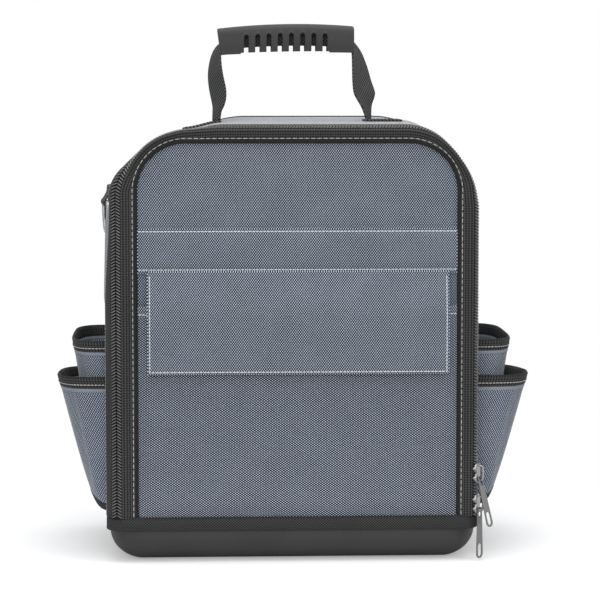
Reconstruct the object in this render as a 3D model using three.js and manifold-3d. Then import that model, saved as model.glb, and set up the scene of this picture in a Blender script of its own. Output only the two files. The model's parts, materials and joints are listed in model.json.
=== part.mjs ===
// A technician's tool bag: soft upright body on a moulded base, with a front flap that zips round three
// sides and folds forward at the base, side pockets, strap rings and a carrying handle.
// Millimetres, +Z up, the zipped front faces -Y, origin at the middle of the base's flat underside.
import * as THREE from 'three';
import { mergeVertices } from 'three/addons/utils/BufferGeometryUtils.js';
import Module from 'manifold-3d';

const wasm = await Module();
wasm.setup();

// Fits
const FIT = 0.3; // gap between pieces that are sewn or seated together
const SEAM = 0.5; // gap between the base's rim and the cloth that stands on it
const SWING_GAP = 0.2; // least play round a pull tab's bar
const MERGE = 1e-4; // corners closer than this are one corner

// Front flap and body
const FLAP_HALF_WIDTH = 148; // middle of the flap to the turned edge of its zip tape
const FLAP_HEIGHT = 330; // fold at the base to the turned top edge
const FLAP_CORNER = 54; // radius of the turned edge's top corners
const BAG_DEPTH = 190; // face of the zip tape to the back of the rear panel
const CORNER_STEPS = 7; // facets in a quarter turn
const ARCH_STEPS = 28; // the same, turned edge's top corners
const GUSSET_WALL = 5; // cloth, foam and lining together

// Base
const BASE_WALL = 3;
const BASE_INSET = 2; // base's front and back stand in from the body's by this much
const BASE_SIDE_INSET = 0.2; // the same, base's sides
const BASE_EDGE_RUN = 30; // rounded bottom edge, along the floor
const BASE_EDGE_RISE = 26; // rounded bottom edge, up the side
const BASE_LIP = 12.5; // upright wall above the rounded edge
const BASE_FLOOR_CORNER = 5; // corner radius of the flat floor inside, in plan
const BASE_BOARD_THICK = 3;
const RIM_TAPE_HEIGHT = 11;
const RIM_TAPE_CORNER = 14;
const RIM_TAPE_THICK = 2; // at the sides
const RIM_TAPE_PROUD = 0.5; // rim tape's face, out from the zip tape's face

// Zip
const TAPE_THICK = 1.2;
const FLAP_TAPE_WIDTH = 12.5; // tape on the flap's face, inside the turned edge
const FLAP_TAPE_DROP = 3.1; // inner edge of that tape lies this much deeper than the turned edge
const TAPE_LAP = 6; // cloth that runs under the flap's tape
const TEETH_EDGE = 0.9; // turned edge to the first row of teeth
const TEETH_WIDTH = 3.4; // one row
const TEETH_HEIGHT = 1.7;
const PARTING = 1.2; // between the two rows
const BODY_TAPE_BEND = 2.5; // body's tape, from its last tooth row to where it lies along the gusset
const BODY_TAPE_LAP = 8; // body's tape, sewn on the gusset
const ZIP_ROLL_LEFT = THREE.MathUtils.degToRad(20); // turn of the zip out of the front's plane, left side
const ZIP_ROLL_RIGHT = THREE.MathUtils.degToRad(65); // the same, top and right side
const ZIP_ROLL_CORNER = THREE.MathUtils.degToRad(90); // the same, half way round the top corners

// Flap layers and front pocket
const CLOTH_THICK = 2;
const BOARD_THICK = 2;
const LINING_THICK = 1.4;
const BAND_TOP = 246; // above the fold
const BAND_HEIGHT = 38.5;
const BAND_THICK = 2;
const POCKET_MOUTH = 180; // above the fold
const POCKET_GAP = 4.6; // room inside the front pocket
const POCKET_WALL = 1.5;
const POCKET_SIDE = 1; // pocket's side to the tape's inner edge
const COVER_HALF_WIDTH = 128;
const COVER_LENGTH = 84;
const COVER_SLOPE = 29; // upper part of the cover that slopes out over the pocket
const COVER_THICK = 1.6;
const FASTENER_HALF_WIDTH = 60;
const FASTENER_HEIGHT = 20;
const FASTENER_THICK = 0.8; // each half of the touch fastener
const FASTENER_LIFT = 9; // lower edge, above the cover's lower edge

// Rear wall and inside
const REAR_PANEL_THICK = 2.7;
const REAR_BOARD_THICK = 2;
const REAR_BINDING_WIDTH = 8;
const TOOL_POCKETS = 4;
const TOOL_POCKET_DEPTH = 20;
const TOOL_POCKET_HEIGHT = 120;
const TOOL_POCKET_LIFT = 12; // above the fold
const TOOL_POCKET_WALL = 2;
const TOOL_ROW_INSET = 11; // ends of the row, in from the flap's edge

// Side pockets
const SIDE_WALL = 2.5;
const OUTER_POCKET_REACH = 48; // out from the gusset at the rim
const OUTER_POCKET_HEIGHT = 110;
const INNER_POCKET_REACH = 35;
const INNER_POCKET_HEIGHT = 125.5;
const SIDE_POCKET_LIFT = 6.5; // outer pocket's lowest seam, above the fold
const INNER_POCKET_STEP = 15; // inner pocket's lowest seam, above the outer's
const SIDE_POCKET_FRONT = 1.5; // behind the zip tape's lap
const SIDE_POCKET_BACK = 12; // in front of the gusset's rear edge
const INNER_POCKET_TUCK = 6; // inner pocket's ends, in from the outer's
const BINDING_HEIGHT = 9;
const BINDING_PROUD = 0.4;

// Strap rings
const RING_WIRE = 4; // diameter
const RING_SIDES = 8; // facets round the wire
const RING_DROP = 26; // bar to the bottom of the bow
const RING_SIDE_ROOM = 3; // tab's edge to where the wire turns down
const RING_PLAY = 0.75; // round the wire, in the tab's loop
const RING_TAB_WIDTH = 20;
const RING_TAB_THICK = 2.4;
const RING_TAB_LENGTH = 15;
const RING_BELOW = 68.5; // ring's bar, below the flap's top
const RING_BACK = 35; // behind the middle of the side
const RING_TURN = THREE.MathUtils.degToRad(8); // rear end of the ring stands further out

// Handle
const FOOT_SPACING = 132.5; // between the straps' lower ends
const FOOT_SHIFT = 1.75; // middle between them, along X
const FOOT_LENGTH = 38;
const FOOT_WIDTH = 25;
const FOOT_THICK = 2.4;
const FOOT_OVERRUN = 8; // foot reaches in past the strap
const WEBBING_WIDTH = 25;
const WEBBING_THICK = 2.4;
const WEBBING_PINCH = 8; // folded width at the foot
const WEBBING_FOLD = 5; // folded thickness at the foot
const WEBBING_CORE = 9; // folded webbing inside the grip, both ways
const WEBBING_TWIST = THREE.MathUtils.degToRad(40);
const STRAP_BULGE = 4; // strap's sideways bow, half way up
const STRAP_STEPS = 14;
const STRAP_FREE = 0.62; // share of the strap's path that is outside the grip
const STRAP_SPREAD = 1.5; // how sharply the webbing opens out from its folded ends
const STRAP_END_STEPS = 3;
const STRAP_END_TURN = 0.95; // share of a quarter turn, so that the round end keeps a small flat
const STRAP_ENTRY_IN = 1; // strap's rise into the grip, in from the grip's end
const STRAP_ENTRY_DROP = 7.2; // the same, below the middle of the webbing in the grip
const GRIP_LENGTH = 119;
const GRIP_LIFT = 65; // strap's pivot to the middle of the grip
const GRIP_SHIFT = -4.2; // middle of the grip, along X
const GRIP_ROOM = 2; // webbing to the grip's side walls
const GRIP_HEIGHT = 23;
const GRIP_WALL = 5;
const GRIP_CROWN = 7.5; // thickness over the webbing
const GRIP_FOOT_IN = 1; // lower edges, drawn in
const GRIP_SIDE_LOW = 4.2; // sides are upright from this far below the middle
const GRIP_SIDE_HIGH = 3.1; // and up to this far above it
const GRIP_SHOULDER_IN = 2.3;
const GRIP_SHOULDER_DROP = 3;
const GRIP_TOP_HALF = 4; // half the width of the flat along the top
const GRIP_BOW = 3;
const GRIP_STEPS = 8;
const GRIP_SLOTS = 8;
const GRIP_SLOT_PITCH = 9.75;
const GRIP_SLOT_WIDTH = 4.2;
const GRIP_SLOT_HEIGHT = 15.4;
const GRIP_SLOT_ROUND = 0.9; // share of the slot's half-width that its top rounds over
const GRIP_RIB_SHORT = 1; // ribs between the slots end this much higher

// Zip sliders and pull tabs
const SLIDER_LIFT = 1.5; // lower end of the lower slider, above the fold
const SLIDER_SPACE = 9.5; // between the two sliders
const SLIDER_LENGTH = 17;
const SLIDER_PLAY = 1.2; // beside the teeth, inside the slider's rims
const SLIDER_PLATE = 1.3;
const SLIDER_RIM = 1.2;
const SLIDER_BLADE_LENGTH = 8; // web that runs between the two rows of teeth
const SLIDER_BACK_INSET = 3; // inner plate is narrower than the outer by this much at the flap's side
const CROWN_LENGTH = 14;
const CROWN_LEG = 1.7;
const CROWN_TOP = 1.4;
const CROWN_WIDTH = 3;
const PULL_BAR = 1.8;
const PULL_THICK = 1.6;
const PULL_LENGTH = 43;
const PULL_LEG = 2.4; // beside the window that the crown passes through
const PULL_PLAY = 0.8; // beside the crown, in that window
const PULL_WINDOW_PLAY = 1.5; // past the crown's end, in that window
const PULL_EYE_WIDTH = 4.6;
const PULL_EYE_LENGTH = 12;
const PULL_EYE_EDGE = 3; // metal under the eye
const LOWER_PULL_TILT = THREE.MathUtils.degToRad(2); // out from hanging straight
const UPPER_PULL_TILT = THREE.MathUtils.degToRad(13);
const SLIDER_CLEAR = 4; // flap's teeth stop this far above the upper slider

// Places worked out from the sizes above
const FRONT_Y = -BAG_DEPTH / 2;
const BACK_Y = BAG_DEPTH / 2;
const BASE_HEIGHT = BASE_EDGE_RISE + BASE_LIP;
const BASE_CORNER = BASE_FLOOR_CORNER + BASE_WALL + BASE_EDGE_RUN; // corner radius of the rim, in plan
const FLAP_BOTTOM = BASE_HEIGHT + SEAM;
const FLAP_TOP = FLAP_BOTTOM + FLAP_HEIGHT;
const SIDE_TOP = FLAP_TOP - FLAP_CORNER;
const FLAP_TEETH_END = TEETH_EDGE + TEETH_WIDTH;
const BODY_TEETH_START = FLAP_TEETH_END + PARTING;
const ZIP_BAND = BODY_TEETH_START + TEETH_WIDTH + TEETH_EDGE;
const ZIP_MIDDLE = FLAP_TEETH_END + PARTING / 2;
const bodyOffset = (roll) => ZIP_BAND * Math.cos(roll) + FIT; // turned edge to the gusset's face
const FLAP_MIDDLE = (bodyOffset(ZIP_ROLL_LEFT) - bodyOffset(ZIP_ROLL_RIGHT)) / 2;
const BODY_HALF_WIDTH = FLAP_HALF_WIDTH + (bodyOffset(ZIP_ROLL_LEFT) + bodyOffset(ZIP_ROLL_RIGHT)) / 2;
const BODY_TOP = FLAP_TOP + bodyOffset(ZIP_ROLL_RIGHT);
const LAP_START_Y = FRONT_Y + ZIP_BAND * Math.sin(ZIP_ROLL_CORNER) + BODY_TAPE_BEND;
const GUSSET_FRONT_Y = LAP_START_Y + TAPE_THICK;
const GUSSET_BACK_Y = BACK_Y - REAR_PANEL_THICK - FIT;
const CLOTH_FACE_Y = FRONT_Y + FLAP_TAPE_DROP + TAPE_THICK / 2 + FIT;
const POCKET_FACE_Y = CLOTH_FACE_Y - POCKET_GAP - POCKET_WALL;
const BAND_FACE_Y = CLOTH_FACE_Y - FIT - BAND_THICK;
const PANEL_HALF_WIDTH = FLAP_HALF_WIDTH - FLAP_TAPE_WIDTH - POCKET_SIDE;
const LOWER_SLIDER_Z = FLAP_BOTTOM + SLIDER_LIFT + SLIDER_LENGTH / 2;
const UPPER_SLIDER_Z = LOWER_SLIDER_Z + SLIDER_LENGTH + SLIDER_SPACE;

const bag = new THREE.Group();

const CLOTH = { color: 0x6b737f, roughness: 0.85, metalness: 0 };
const TAPE = { color: 0x3a3a3b, roughness: 0.8, metalness: 0 };
const RUBBER = { color: 0x3c3c3c, roughness: 0.6, metalness: 0 };
const TEETH = { color: 0x2e2e2f, roughness: 0.45, metalness: 0 };
const LINING = { color: 0x2b2d31, roughness: 0.9, metalness: 0 };
const BOARD = { color: 0x303030, roughness: 0.7, metalness: 0 };
const NICKEL = { color: 0x9a9a9a, roughness: 0.3, metalness: 1 };

/** Adds one named piece to a group, the bag itself unless another is given. */
function addPart(name, geometry, look, group = bag) {
  const mesh = new THREE.Mesh(geometry, new THREE.MeshStandardMaterial(look));
  mesh.name = name;
  group.add(mesh);
  return mesh;
}

/** Indexed geometry whose faces point out, whichever way the triangles were listed. */
function outwardGeometry(points, triangles) {
  const volume = triangles.reduce((sum, [a, b, c]) => {
    return sum + points[a].dot(new THREE.Vector3().crossVectors(points[b], points[c]));
  }, 0);
  const faces = volume > 0 ? triangles : triangles.map(([a, b, c]) => [a, c, b]);
  const geometry = new THREE.BufferGeometry();
  geometry.setAttribute('position', new THREE.Float32BufferAttribute(points.flatMap((p) => p.toArray()), 3));
  geometry.setIndex(faces.flat());
  return geometry;
}

/** Triangles that fill a flat ring of points, wound the way the ring runs. */
function capTriangles(ring) {
  const normal = new THREE.Vector3();
  ring.forEach((point, i) => {
    normal.add(new THREE.Vector3().crossVectors(point, ring[(i + 1) % ring.length]));
  });
  normal.normalize();
  const steep = Math.abs(normal.x) > Math.abs(normal.y);
  const across = steep ? new THREE.Vector3(0, 1, 0) : new THREE.Vector3(1, 0, 0);
  const u = across.cross(normal).normalize();
  const v = normal.clone().cross(u);
  const flat = ring.map((point) => new THREE.Vector2(point.dot(u), point.dot(v)));
  return THREE.ShapeUtils.triangulateShape(flat, []).map(([a, b, c]) => {
    const turn = flat[b].clone().sub(flat[a]).cross(flat[c].clone().sub(flat[a]));
    return turn > 0 ? [a, b, c] : [a, c, b];
  });
}

/** Closed skin over a row of matching rings of points, with a flat cap at each end. */
function loft(rings) {
  const count = rings[0].length;
  const last = (rings.length - 1) * count;
  const triangles = [];
  for (let start = 0; start < last; start += count) {
    for (let i = 0; i < count; i += 1) {
      const a = start + i;
      const b = start + ((i + 1) % count);
      triangles.push([a, b, b + count], [a, b + count, a + count]);
    }
  }
  capTriangles(rings[0]).forEach(([a, b, c]) => triangles.push([a, c, b]));
  capTriangles(rings.at(-1)).forEach(([a, b, c]) => triangles.push([last + a, last + b, last + c]));
  return outwardGeometry(rings.flat(), triangles);
}

/** Solid for cutting and joining. */
function solid(geometry) {
  const bare = geometry.clone();
  bare.deleteAttribute('normal');
  bare.deleteAttribute('uv');
  const merged = mergeVertices(bare, MERGE);
  const vertProperties = new Float32Array(merged.attributes.position.array);
  const triVerts = new Uint32Array(merged.index.array);
  return new wasm.Manifold(new wasm.Mesh({ numProp: 3, vertProperties, triVerts }));
}

/** Geometry of a cut or joined solid. */
function fromSolid(shape) {
  const mesh = shape.getMesh();
  const geometry = new THREE.BufferGeometry();
  geometry.setAttribute('position', new THREE.Float32BufferAttribute(mesh.vertProperties, 3));
  geometry.setIndex(Array.from(mesh.triVerts));
  return geometry;
}

const cut = (geometry, ...tools) => fromSolid(tools.reduce((s, tool) => s.subtract(solid(tool)), solid(geometry)));
const join = (...pieces) => fromSolid(pieces.map(solid).reduce((a, b) => a.add(b)));

/** Box between two corners. */
function block([x0, y0, z0], [x1, y1, z1]) {
  const box = new THREE.BoxGeometry(x1 - x0, y1 - y0, z1 - z0);
  return box.translate((x0 + x1) / 2, (y0 + y1) / 2, (z0 + z1) / 2);
}

/** Flat plate: a shape drawn in X and Z, from one Y to another. */
function plate(shape, frontY, backY) {
  const geometry = new THREE.ExtrudeGeometry(shape, {
    depth: backY - frontY,
    bevelEnabled: false,
    curveSegments: CORNER_STEPS,
  });
  return geometry.rotateX(Math.PI / 2).translate(0, backY, 0);
}

/** Upright outline with two round top corners, about a middle line. */
function archShape(middle, halfWidth, bottom, top, corner) {
  const shape = new THREE.Shape();
  shape.moveTo(middle - halfWidth, bottom);
  shape.lineTo(middle + halfWidth, bottom);
  shape.lineTo(middle + halfWidth, top - corner);
  shape.absarc(middle + halfWidth - corner, top - corner, corner, 0, Math.PI / 2);
  shape.lineTo(middle - halfWidth + corner, top);
  shape.absarc(middle - halfWidth + corner, top - corner, corner, Math.PI / 2, Math.PI);
  return shape;
}

/** Section of a thin strip that follows a line of [out, y] points. */
function stripSection(line, thickness) {
  const half = thickness / 2;
  const points = line.map(([n, y]) => new THREE.Vector2(n, y));
  const normals = points.slice(1).map((p, i) => {
    const along = p.clone().sub(points[i]).normalize();
    return new THREE.Vector2(-along.y, along.x);
  });
  const offsets = points.map((_, i) => {
    const before = normals[Math.max(i - 1, 0)];
    const after = normals[Math.min(i, normals.length - 1)];
    const mean = before.clone().add(after).normalize();
    return mean.multiplyScalar(half / mean.dot(after));
  });
  const near = points.map((p, i) => p.clone().add(offsets[i]));
  const far = points.map((p, i) => p.clone().sub(offsets[i])).reverse();
  return [...near, ...far].map((p) => [p.x, p.y]);
}

/** Places along the flap's turned edge: a point in X and Z, its outward direction and the zip's roll. */
const station = (x, z, angle, roll) => ({ x, z, nx: Math.cos(angle), nz: Math.sin(angle), roll });
const leftStation = (z) => station(FLAP_MIDDLE - FLAP_HALF_WIDTH, z, Math.PI, ZIP_ROLL_LEFT);
const rightStation = (z) => station(FLAP_MIDDLE + FLAP_HALF_WIDTH, z, 0, ZIP_ROLL_RIGHT);

/** Both top corners, from the left side over the top to the right side. */
function archStations() {
  const stations = [];
  const reach = FLAP_HALF_WIDTH - FLAP_CORNER;
  for (const side of [-1, 1]) {
    for (let i = 0; i <= ARCH_STEPS; i += 1) {
      const share = i / ARCH_STEPS;
      const angle = (side < 0 ? Math.PI : Math.PI / 2) - (share * Math.PI) / 2;
      const start = side < 0 ? ZIP_ROLL_LEFT : ZIP_ROLL_RIGHT;
      const even = THREE.MathUtils.lerp(start, ZIP_ROLL_RIGHT, share);
      const roll = THREE.MathUtils.lerp(even, ZIP_ROLL_CORNER, Math.sin(Math.PI * share));
      const x = FLAP_MIDDLE + side * reach + FLAP_CORNER * Math.cos(angle);
      stations.push(station(x, SIDE_TOP + FLAP_CORNER * Math.sin(angle), angle, roll));
    }
  }
  return stations;
}

const zipStations = (rightEnd = FLAP_BOTTOM) => {
  return [leftStation(FLAP_BOTTOM), ...archStations(), rightStation(rightEnd)];
};

/** Point off the turned edge: outward in the front's plane, and at a depth. */
const offEdge = (s, out, y) => new THREE.Vector3(s.x + out * s.nx, y, s.z + out * s.nz);

/** Loft of a section, given as a function of the roll, along the turned edge. */
function alongEdge(stations, section) {
  return loft(stations.map((s) => section(s.roll).map(([out, y]) => offEdge(s, out, y))));
}

/** The body's outline, in from the gusset's face. */
function bodyShape(inset) {
  return new THREE.Shape(zipStations().map((s) => {
    const out = bodyOffset(s.roll) - inset;
    return new THREE.Vector2(s.x + out * s.nx, s.z + out * s.nz);
  }));
}

/** Ring of points round a rectangle with round corners, at one height. */
function roundedRing(halfWidth, halfDepth, corner, z) {
  const ring = [];
  for (let quarter = 0; quarter < 4; quarter += 1) {
    const cx = (quarter === 0 || quarter === 3 ? 1 : -1) * (halfWidth - corner);
    const cy = (quarter < 2 ? 1 : -1) * (halfDepth - corner);
    for (let i = 0; i <= CORNER_STEPS; i += 1) {
      const angle = ((quarter + i / CORNER_STEPS) * Math.PI) / 2;
      ring.push(new THREE.Vector3(cx + corner * Math.cos(angle), cy + corner * Math.sin(angle), z));
    }
  }
  return ring;
}

const flatShape = (ring) => new THREE.Shape(ring.map((p) => new THREE.Vector2(p.x, p.y)));

// Base tub, the board in it and the tape round its rim
function buildBase() {
  const halfWidth = BODY_HALF_WIDTH - BASE_SIDE_INSET;
  const halfDepth = BAG_DEPTH / 2 - BASE_INSET;
  const ringAt = (inset, z) => roundedRing(halfWidth - inset, halfDepth - inset, BASE_CORNER - inset, z);
  const edge = [];
  for (let i = 0; i <= CORNER_STEPS; i += 1) {
    const angle = ((i / CORNER_STEPS) * Math.PI) / 2;
    edge.push([BASE_EDGE_RUN * (1 - Math.sin(angle)), BASE_EDGE_RISE * (1 - Math.cos(angle))]);
  }
  const outside = [...edge.map(([inset, z]) => ringAt(inset, z)), ringAt(0, BASE_HEIGHT)];
  const inside = edge.map(([inset, z]) => ringAt(inset + BASE_WALL, z + BASE_WALL)).reverse();
  addPart('base_tray', loft([...outside, ringAt(BASE_WALL, BASE_HEIGHT), ...inside]), RUBBER);

  const floor = flatShape(ringAt(BASE_EDGE_RUN + BASE_WALL, 0));
  const board = new THREE.ExtrudeGeometry(floor, { depth: BASE_BOARD_THICK, bevelEnabled: false });
  addPart('base_board', board, BOARD).position.z = BASE_WALL + FIT;

  const tapeHalfDepth = BAG_DEPTH / 2 + RIM_TAPE_PROUD;
  const tapeHalfWidth = halfWidth + FIT + RIM_TAPE_THICK;
  const tapeShape = flatShape(roundedRing(tapeHalfWidth, tapeHalfDepth, RIM_TAPE_CORNER, 0));
  tapeShape.holes.push(flatShape(ringAt(-FIT, 0)));
  const tape = new THREE.ExtrudeGeometry(tapeShape, { depth: RIM_TAPE_HEIGHT, bevelEnabled: false });
  addPart('rim_tape', tape, TAPE).position.z = BASE_HEIGHT - RIM_TAPE_HEIGHT;
}

// Side and top walls of the body
function buildGussets() {
  const section = (roll) => {
    const face = bodyOffset(roll);
    return [
      [face, GUSSET_FRONT_Y],
      [face, GUSSET_BACK_Y],
      [face - GUSSET_WALL, GUSSET_BACK_Y],
      [face - GUSSET_WALL, GUSSET_FRONT_Y],
    ];
  };
  const sideEnd = SIDE_TOP - FIT;
  addPart('left_gusset', alongEdge([leftStation(FLAP_BOTTOM), leftStation(sideEnd)], section), CLOTH);
  addPart('top_gusset', alongEdge(archStations(), section), CLOTH);
  addPart('right_gusset', alongEdge([rightStation(sideEnd), rightStation(FLAP_BOTTOM)], section), CLOTH);
}

// Back wall, its stiffener, lining, edge tape and row of tool pockets
function buildRear() {
  const panelY = BACK_Y - REAR_PANEL_THICK;
  addPart('rear_panel', plate(bodyShape(0), panelY, BACK_Y), CLOTH);
  const boardY = panelY - FIT - REAR_BOARD_THICK;
  const insideShape = bodyShape(GUSSET_WALL + FIT);
  addPart('rear_board', plate(insideShape, boardY, panelY - FIT), BOARD);
  const liningY = boardY - FIT - LINING_THICK;
  addPart('rear_lining', plate(insideShape, liningY, boardY - FIT), LINING);

  addPart('rear_binding', alongEdge(zipStations(), (roll) => {
    const face = bodyOffset(roll) + FIT + TAPE_THICK / 2;
    const back = BACK_Y + FIT + TAPE_THICK / 2;
    const line = [[face, back - REAR_BINDING_WIDTH], [face, back], [face - REAR_BINDING_WIDTH, back]];
    return stripSection(line, TAPE_THICK);
  }), TAPE);

  const halfWidth = FLAP_HALF_WIDTH - TOOL_ROW_INSET;
  const pitch = (2 * halfWidth - TOOL_POCKET_WALL) / TOOL_POCKETS;
  const backY = liningY - FIT;
  const frontY = backY - TOOL_POCKET_DEPTH - TOOL_POCKET_WALL;
  const bottom = FLAP_BOTTOM + TOOL_POCKET_LIFT;
  const top = bottom + TOOL_POCKET_HEIGHT;
  const rooms = Array.from({ length: TOOL_POCKETS }, (_, i) => {
    const x = -halfWidth + TOOL_POCKET_WALL + i * pitch;
    const low = [x, frontY + TOOL_POCKET_WALL, bottom + TOOL_POCKET_WALL];
    return block(low, [x + pitch - TOOL_POCKET_WALL, BACK_Y, FLAP_TOP]);
  });
  addPart('inner_pocket_row', cut(block([-halfWidth, frontY, bottom], [halfWidth, backY, top]), ...rooms), LINING);
}

// Both halves of the zip
function buildZip() {
  const onBand = (roll, along, up) => {
    const out = along * Math.cos(roll) + up * Math.sin(roll);
    return [out, FRONT_Y + along * Math.sin(roll) - up * Math.cos(roll)];
  };
  const flapTape = alongEdge(zipStations(), (roll) => stripSection([
    [-FLAP_TAPE_WIDTH, FRONT_Y + FLAP_TAPE_DROP],
    [0, FRONT_Y],
    onBand(roll, FLAP_TEETH_END, 0),
  ], TAPE_THICK));
  const freeZ = UPPER_SLIDER_Z + SLIDER_LENGTH / 2 + SLIDER_CLEAR;
  const edgeX = FLAP_MIDDLE + FLAP_HALF_WIDTH - TAPE_THICK / 2;
  const sliderRoom = block([edgeX, FRONT_Y - ZIP_BAND, 0], [edgeX + 2 * ZIP_BAND, 0, freeZ]);
  addPart('flap_zip_tape', cut(flapTape, sliderRoom), TAPE);

  addPart('body_zip_tape', alongEdge(zipStations(), (roll) => {
    const lap = bodyOffset(roll) + FIT + TAPE_THICK / 2;
    return stripSection([
      onBand(roll, BODY_TEETH_START, 0),
      onBand(roll, ZIP_BAND, 0),
      [lap, LAP_START_Y],
      [lap, LAP_START_Y + BODY_TAPE_LAP],
    ], TAPE_THICK);
  }), TAPE);

  const teeth = (start) => (roll) => {
    const low = TAPE_THICK / 2 + FIT;
    const high = low + TEETH_HEIGHT;
    const end = start + TEETH_WIDTH;
    return [[start, low], [end, low], [end, high], [start, high]].map(([along, up]) => onBand(roll, along, up));
  };
  addPart('flap_zip_teeth', alongEdge(zipStations(freeZ), teeth(TEETH_EDGE)), TEETH);
  addPart('body_zip_teeth', alongEdge(zipStations(), teeth(BODY_TEETH_START)), TEETH);
}

// Front flap's layers, the sewn band and the pocket
function buildFlap() {
  const inset = FLAP_TAPE_WIDTH - TAPE_LAP;
  const halfWidth = FLAP_HALF_WIDTH - inset;
  const shape = archShape(FLAP_MIDDLE, halfWidth, FLAP_BOTTOM, FLAP_TOP - inset, FLAP_CORNER - inset);
  const boardY = CLOTH_FACE_Y + CLOTH_THICK + FIT;
  const liningY = boardY + BOARD_THICK + FIT;
  addPart('flap_panel', plate(shape, CLOTH_FACE_Y, CLOTH_FACE_Y + CLOTH_THICK), CLOTH);
  addPart('flap_board', plate(shape, boardY, boardY + BOARD_THICK), BOARD);
  addPart('flap_lining', plate(shape, liningY, liningY + LINING_THICK), LINING);

  const left = FLAP_MIDDLE - PANEL_HALF_WIDTH;
  const right = FLAP_MIDDLE + PANEL_HALF_WIDTH;
  const bandTop = FLAP_BOTTOM + BAND_TOP;
  const seat = CLOTH_FACE_Y - FIT;
  addPart('pocket_band', block([left, BAND_FACE_Y, bandTop - BAND_HEIGHT], [right, seat, bandTop]), CLOTH);

  const bottom = FLAP_BOTTOM + POCKET_WALL;
  const mouth = FLAP_BOTTOM + POCKET_MOUTH;
  const room = block(
    [left + POCKET_WALL, POCKET_FACE_Y + POCKET_WALL, bottom + POCKET_WALL],
    [right - POCKET_WALL, 0, FLAP_TOP],
  );
  addPart('front_pocket', cut(block([left, POCKET_FACE_Y, bottom], [right, seat, mouth]), room), CLOTH);
}

// Cover over the front pocket's mouth, with both halves of its touch fastener
function buildPocketCover() {
  const hingeZ = FLAP_BOTTOM + BAND_TOP - BAND_HEIGHT - COVER_THICK / 2 - FIT;
  const hingeY = BAND_FACE_Y - FIT - COVER_THICK / 2;
  const loopBack = POCKET_FACE_Y - FIT;
  const hookBack = loopBack - FASTENER_THICK - FIT;
  const coverY = hookBack - FASTENER_THICK - FIT - COVER_THICK / 2;
  const line = [
    [hingeY, hingeZ],
    [coverY, hingeZ - COVER_SLOPE],
    [coverY, hingeZ - COVER_LENGTH],
  ];
  const section = stripSection(line, COVER_THICK);
  const ends = [-COVER_HALF_WIDTH, COVER_HALF_WIDTH].map((x) => {
    return section.map(([y, z]) => new THREE.Vector3(FLAP_MIDDLE + x, y, z));
  });
  addPart('pocket_cover', loft(ends), CLOTH);

  const low = hingeZ - COVER_LENGTH + FASTENER_LIFT;
  const strip = (back) => block(
    [FLAP_MIDDLE - FASTENER_HALF_WIDTH, back - FASTENER_THICK, low],
    [FLAP_MIDDLE + FASTENER_HALF_WIDTH, back, low + FASTENER_HEIGHT],
  );
  addPart('loop_strip', strip(loopBack), TAPE);
  addPart('hook_strip', strip(hookBack), TAPE);
}

// Side pockets: a bellows shape that is deepest at its rim and runs out to nothing at its lowest seam
const POCKET_LEVELS = [0, 0.03, 0.08, 0.16, 0.3, 0.5, 0.75, 1];
const POCKET_STEPS = 12;
const SWELL_EVEN = 0.55; // share of the reach that grows evenly with height
const SWELL_POWER = 0.3; // the rest grows by this power, quickly at first
const swell = (share) => SWELL_EVEN * share + (1 - SWELL_EVEN) * share ** SWELL_POWER;

/** Half of a squarish oval, from the front seam out and round to the rear seam. */
function pocketRing(side, faceX, reach, frontY, backY, z, sink) {
  const middle = (frontY + backY) / 2;
  const half = (backY - frontY) / 2;
  const at = (out, y) => new THREE.Vector3(faceX + side * out, y, z);
  const ring = sink > 0 ? [at(-sink, frontY)] : [];
  for (let i = 0; i <= POCKET_STEPS; i += 1) {
    const angle = (i / POCKET_STEPS) * Math.PI;
    const across = Math.sqrt(Math.abs(Math.cos(angle))) * -Math.sign(Math.cos(angle));
    const out = i % POCKET_STEPS === 0 ? 0 : Math.sqrt(Math.sin(angle));
    ring.push(at(reach * out, middle + half * across));
  }
  return sink > 0 ? [...ring, at(-sink, backY)] : ring;
}

/** One pocket and the bound rim on top of it. */
function buildSidePocket(side, kind, reach, height, lift, tuck) {
  const faceX = side * (BODY_HALF_WIDTH + FIT);
  const frontY = LAP_START_Y + BODY_TAPE_LAP + SIDE_POCKET_FRONT + tuck;
  const backY = GUSSET_BACK_Y - SIDE_POCKET_BACK - tuck;
  const bottom = FLAP_BOTTOM + lift;
  const reachAt = (share) => SIDE_WALL + (reach - SIDE_WALL) * swell(share);
  const shell = (levels, cutLevels, proud) => {
    const outer = levels.map(([share, z]) => {
      return pocketRing(side, faceX, reachAt(share) + proud, frontY - proud, backY + proud, z, 0);
    });
    const wall = SIDE_WALL + proud;
    const inner = cutLevels.map(([share, z]) => {
      return pocketRing(side, faceX, reachAt(share) - wall, frontY + wall, backY - wall, z, SIDE_WALL);
    });
    return cut(loft(outer), loft(inner));
  };
  const name = side < 0 ? 'left' : 'right';
  const rim = bottom + height;
  const seamShare = 1 - BINDING_HEIGHT / height;
  const shares = [...POCKET_LEVELS.filter((share) => share < seamShare), seamShare];
  const heightAt = (share) => bottom + height * share;
  const walls = shares.map((share) => [share, heightAt(share)]);
  const hollow = [...walls.filter(([share]) => reachAt(share) > 2 * SIDE_WALL), [1, rim]];
  addPart(`${name}_${kind}_pocket`, shell(walls, hollow, 0), CLOTH);

  const seamZ = heightAt(seamShare) + FIT;
  const bindingLevels = [[seamShare, seamZ], [1, rim]];
  const bindingCut = [[seamShare, seamZ - BINDING_HEIGHT], [seamShare, seamZ], [1, rim], [1, rim + BINDING_HEIGHT]];
  addPart(`${name}_${kind}_binding`, shell(bindingLevels, bindingCut, BINDING_PROUD), TAPE);
}

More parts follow.
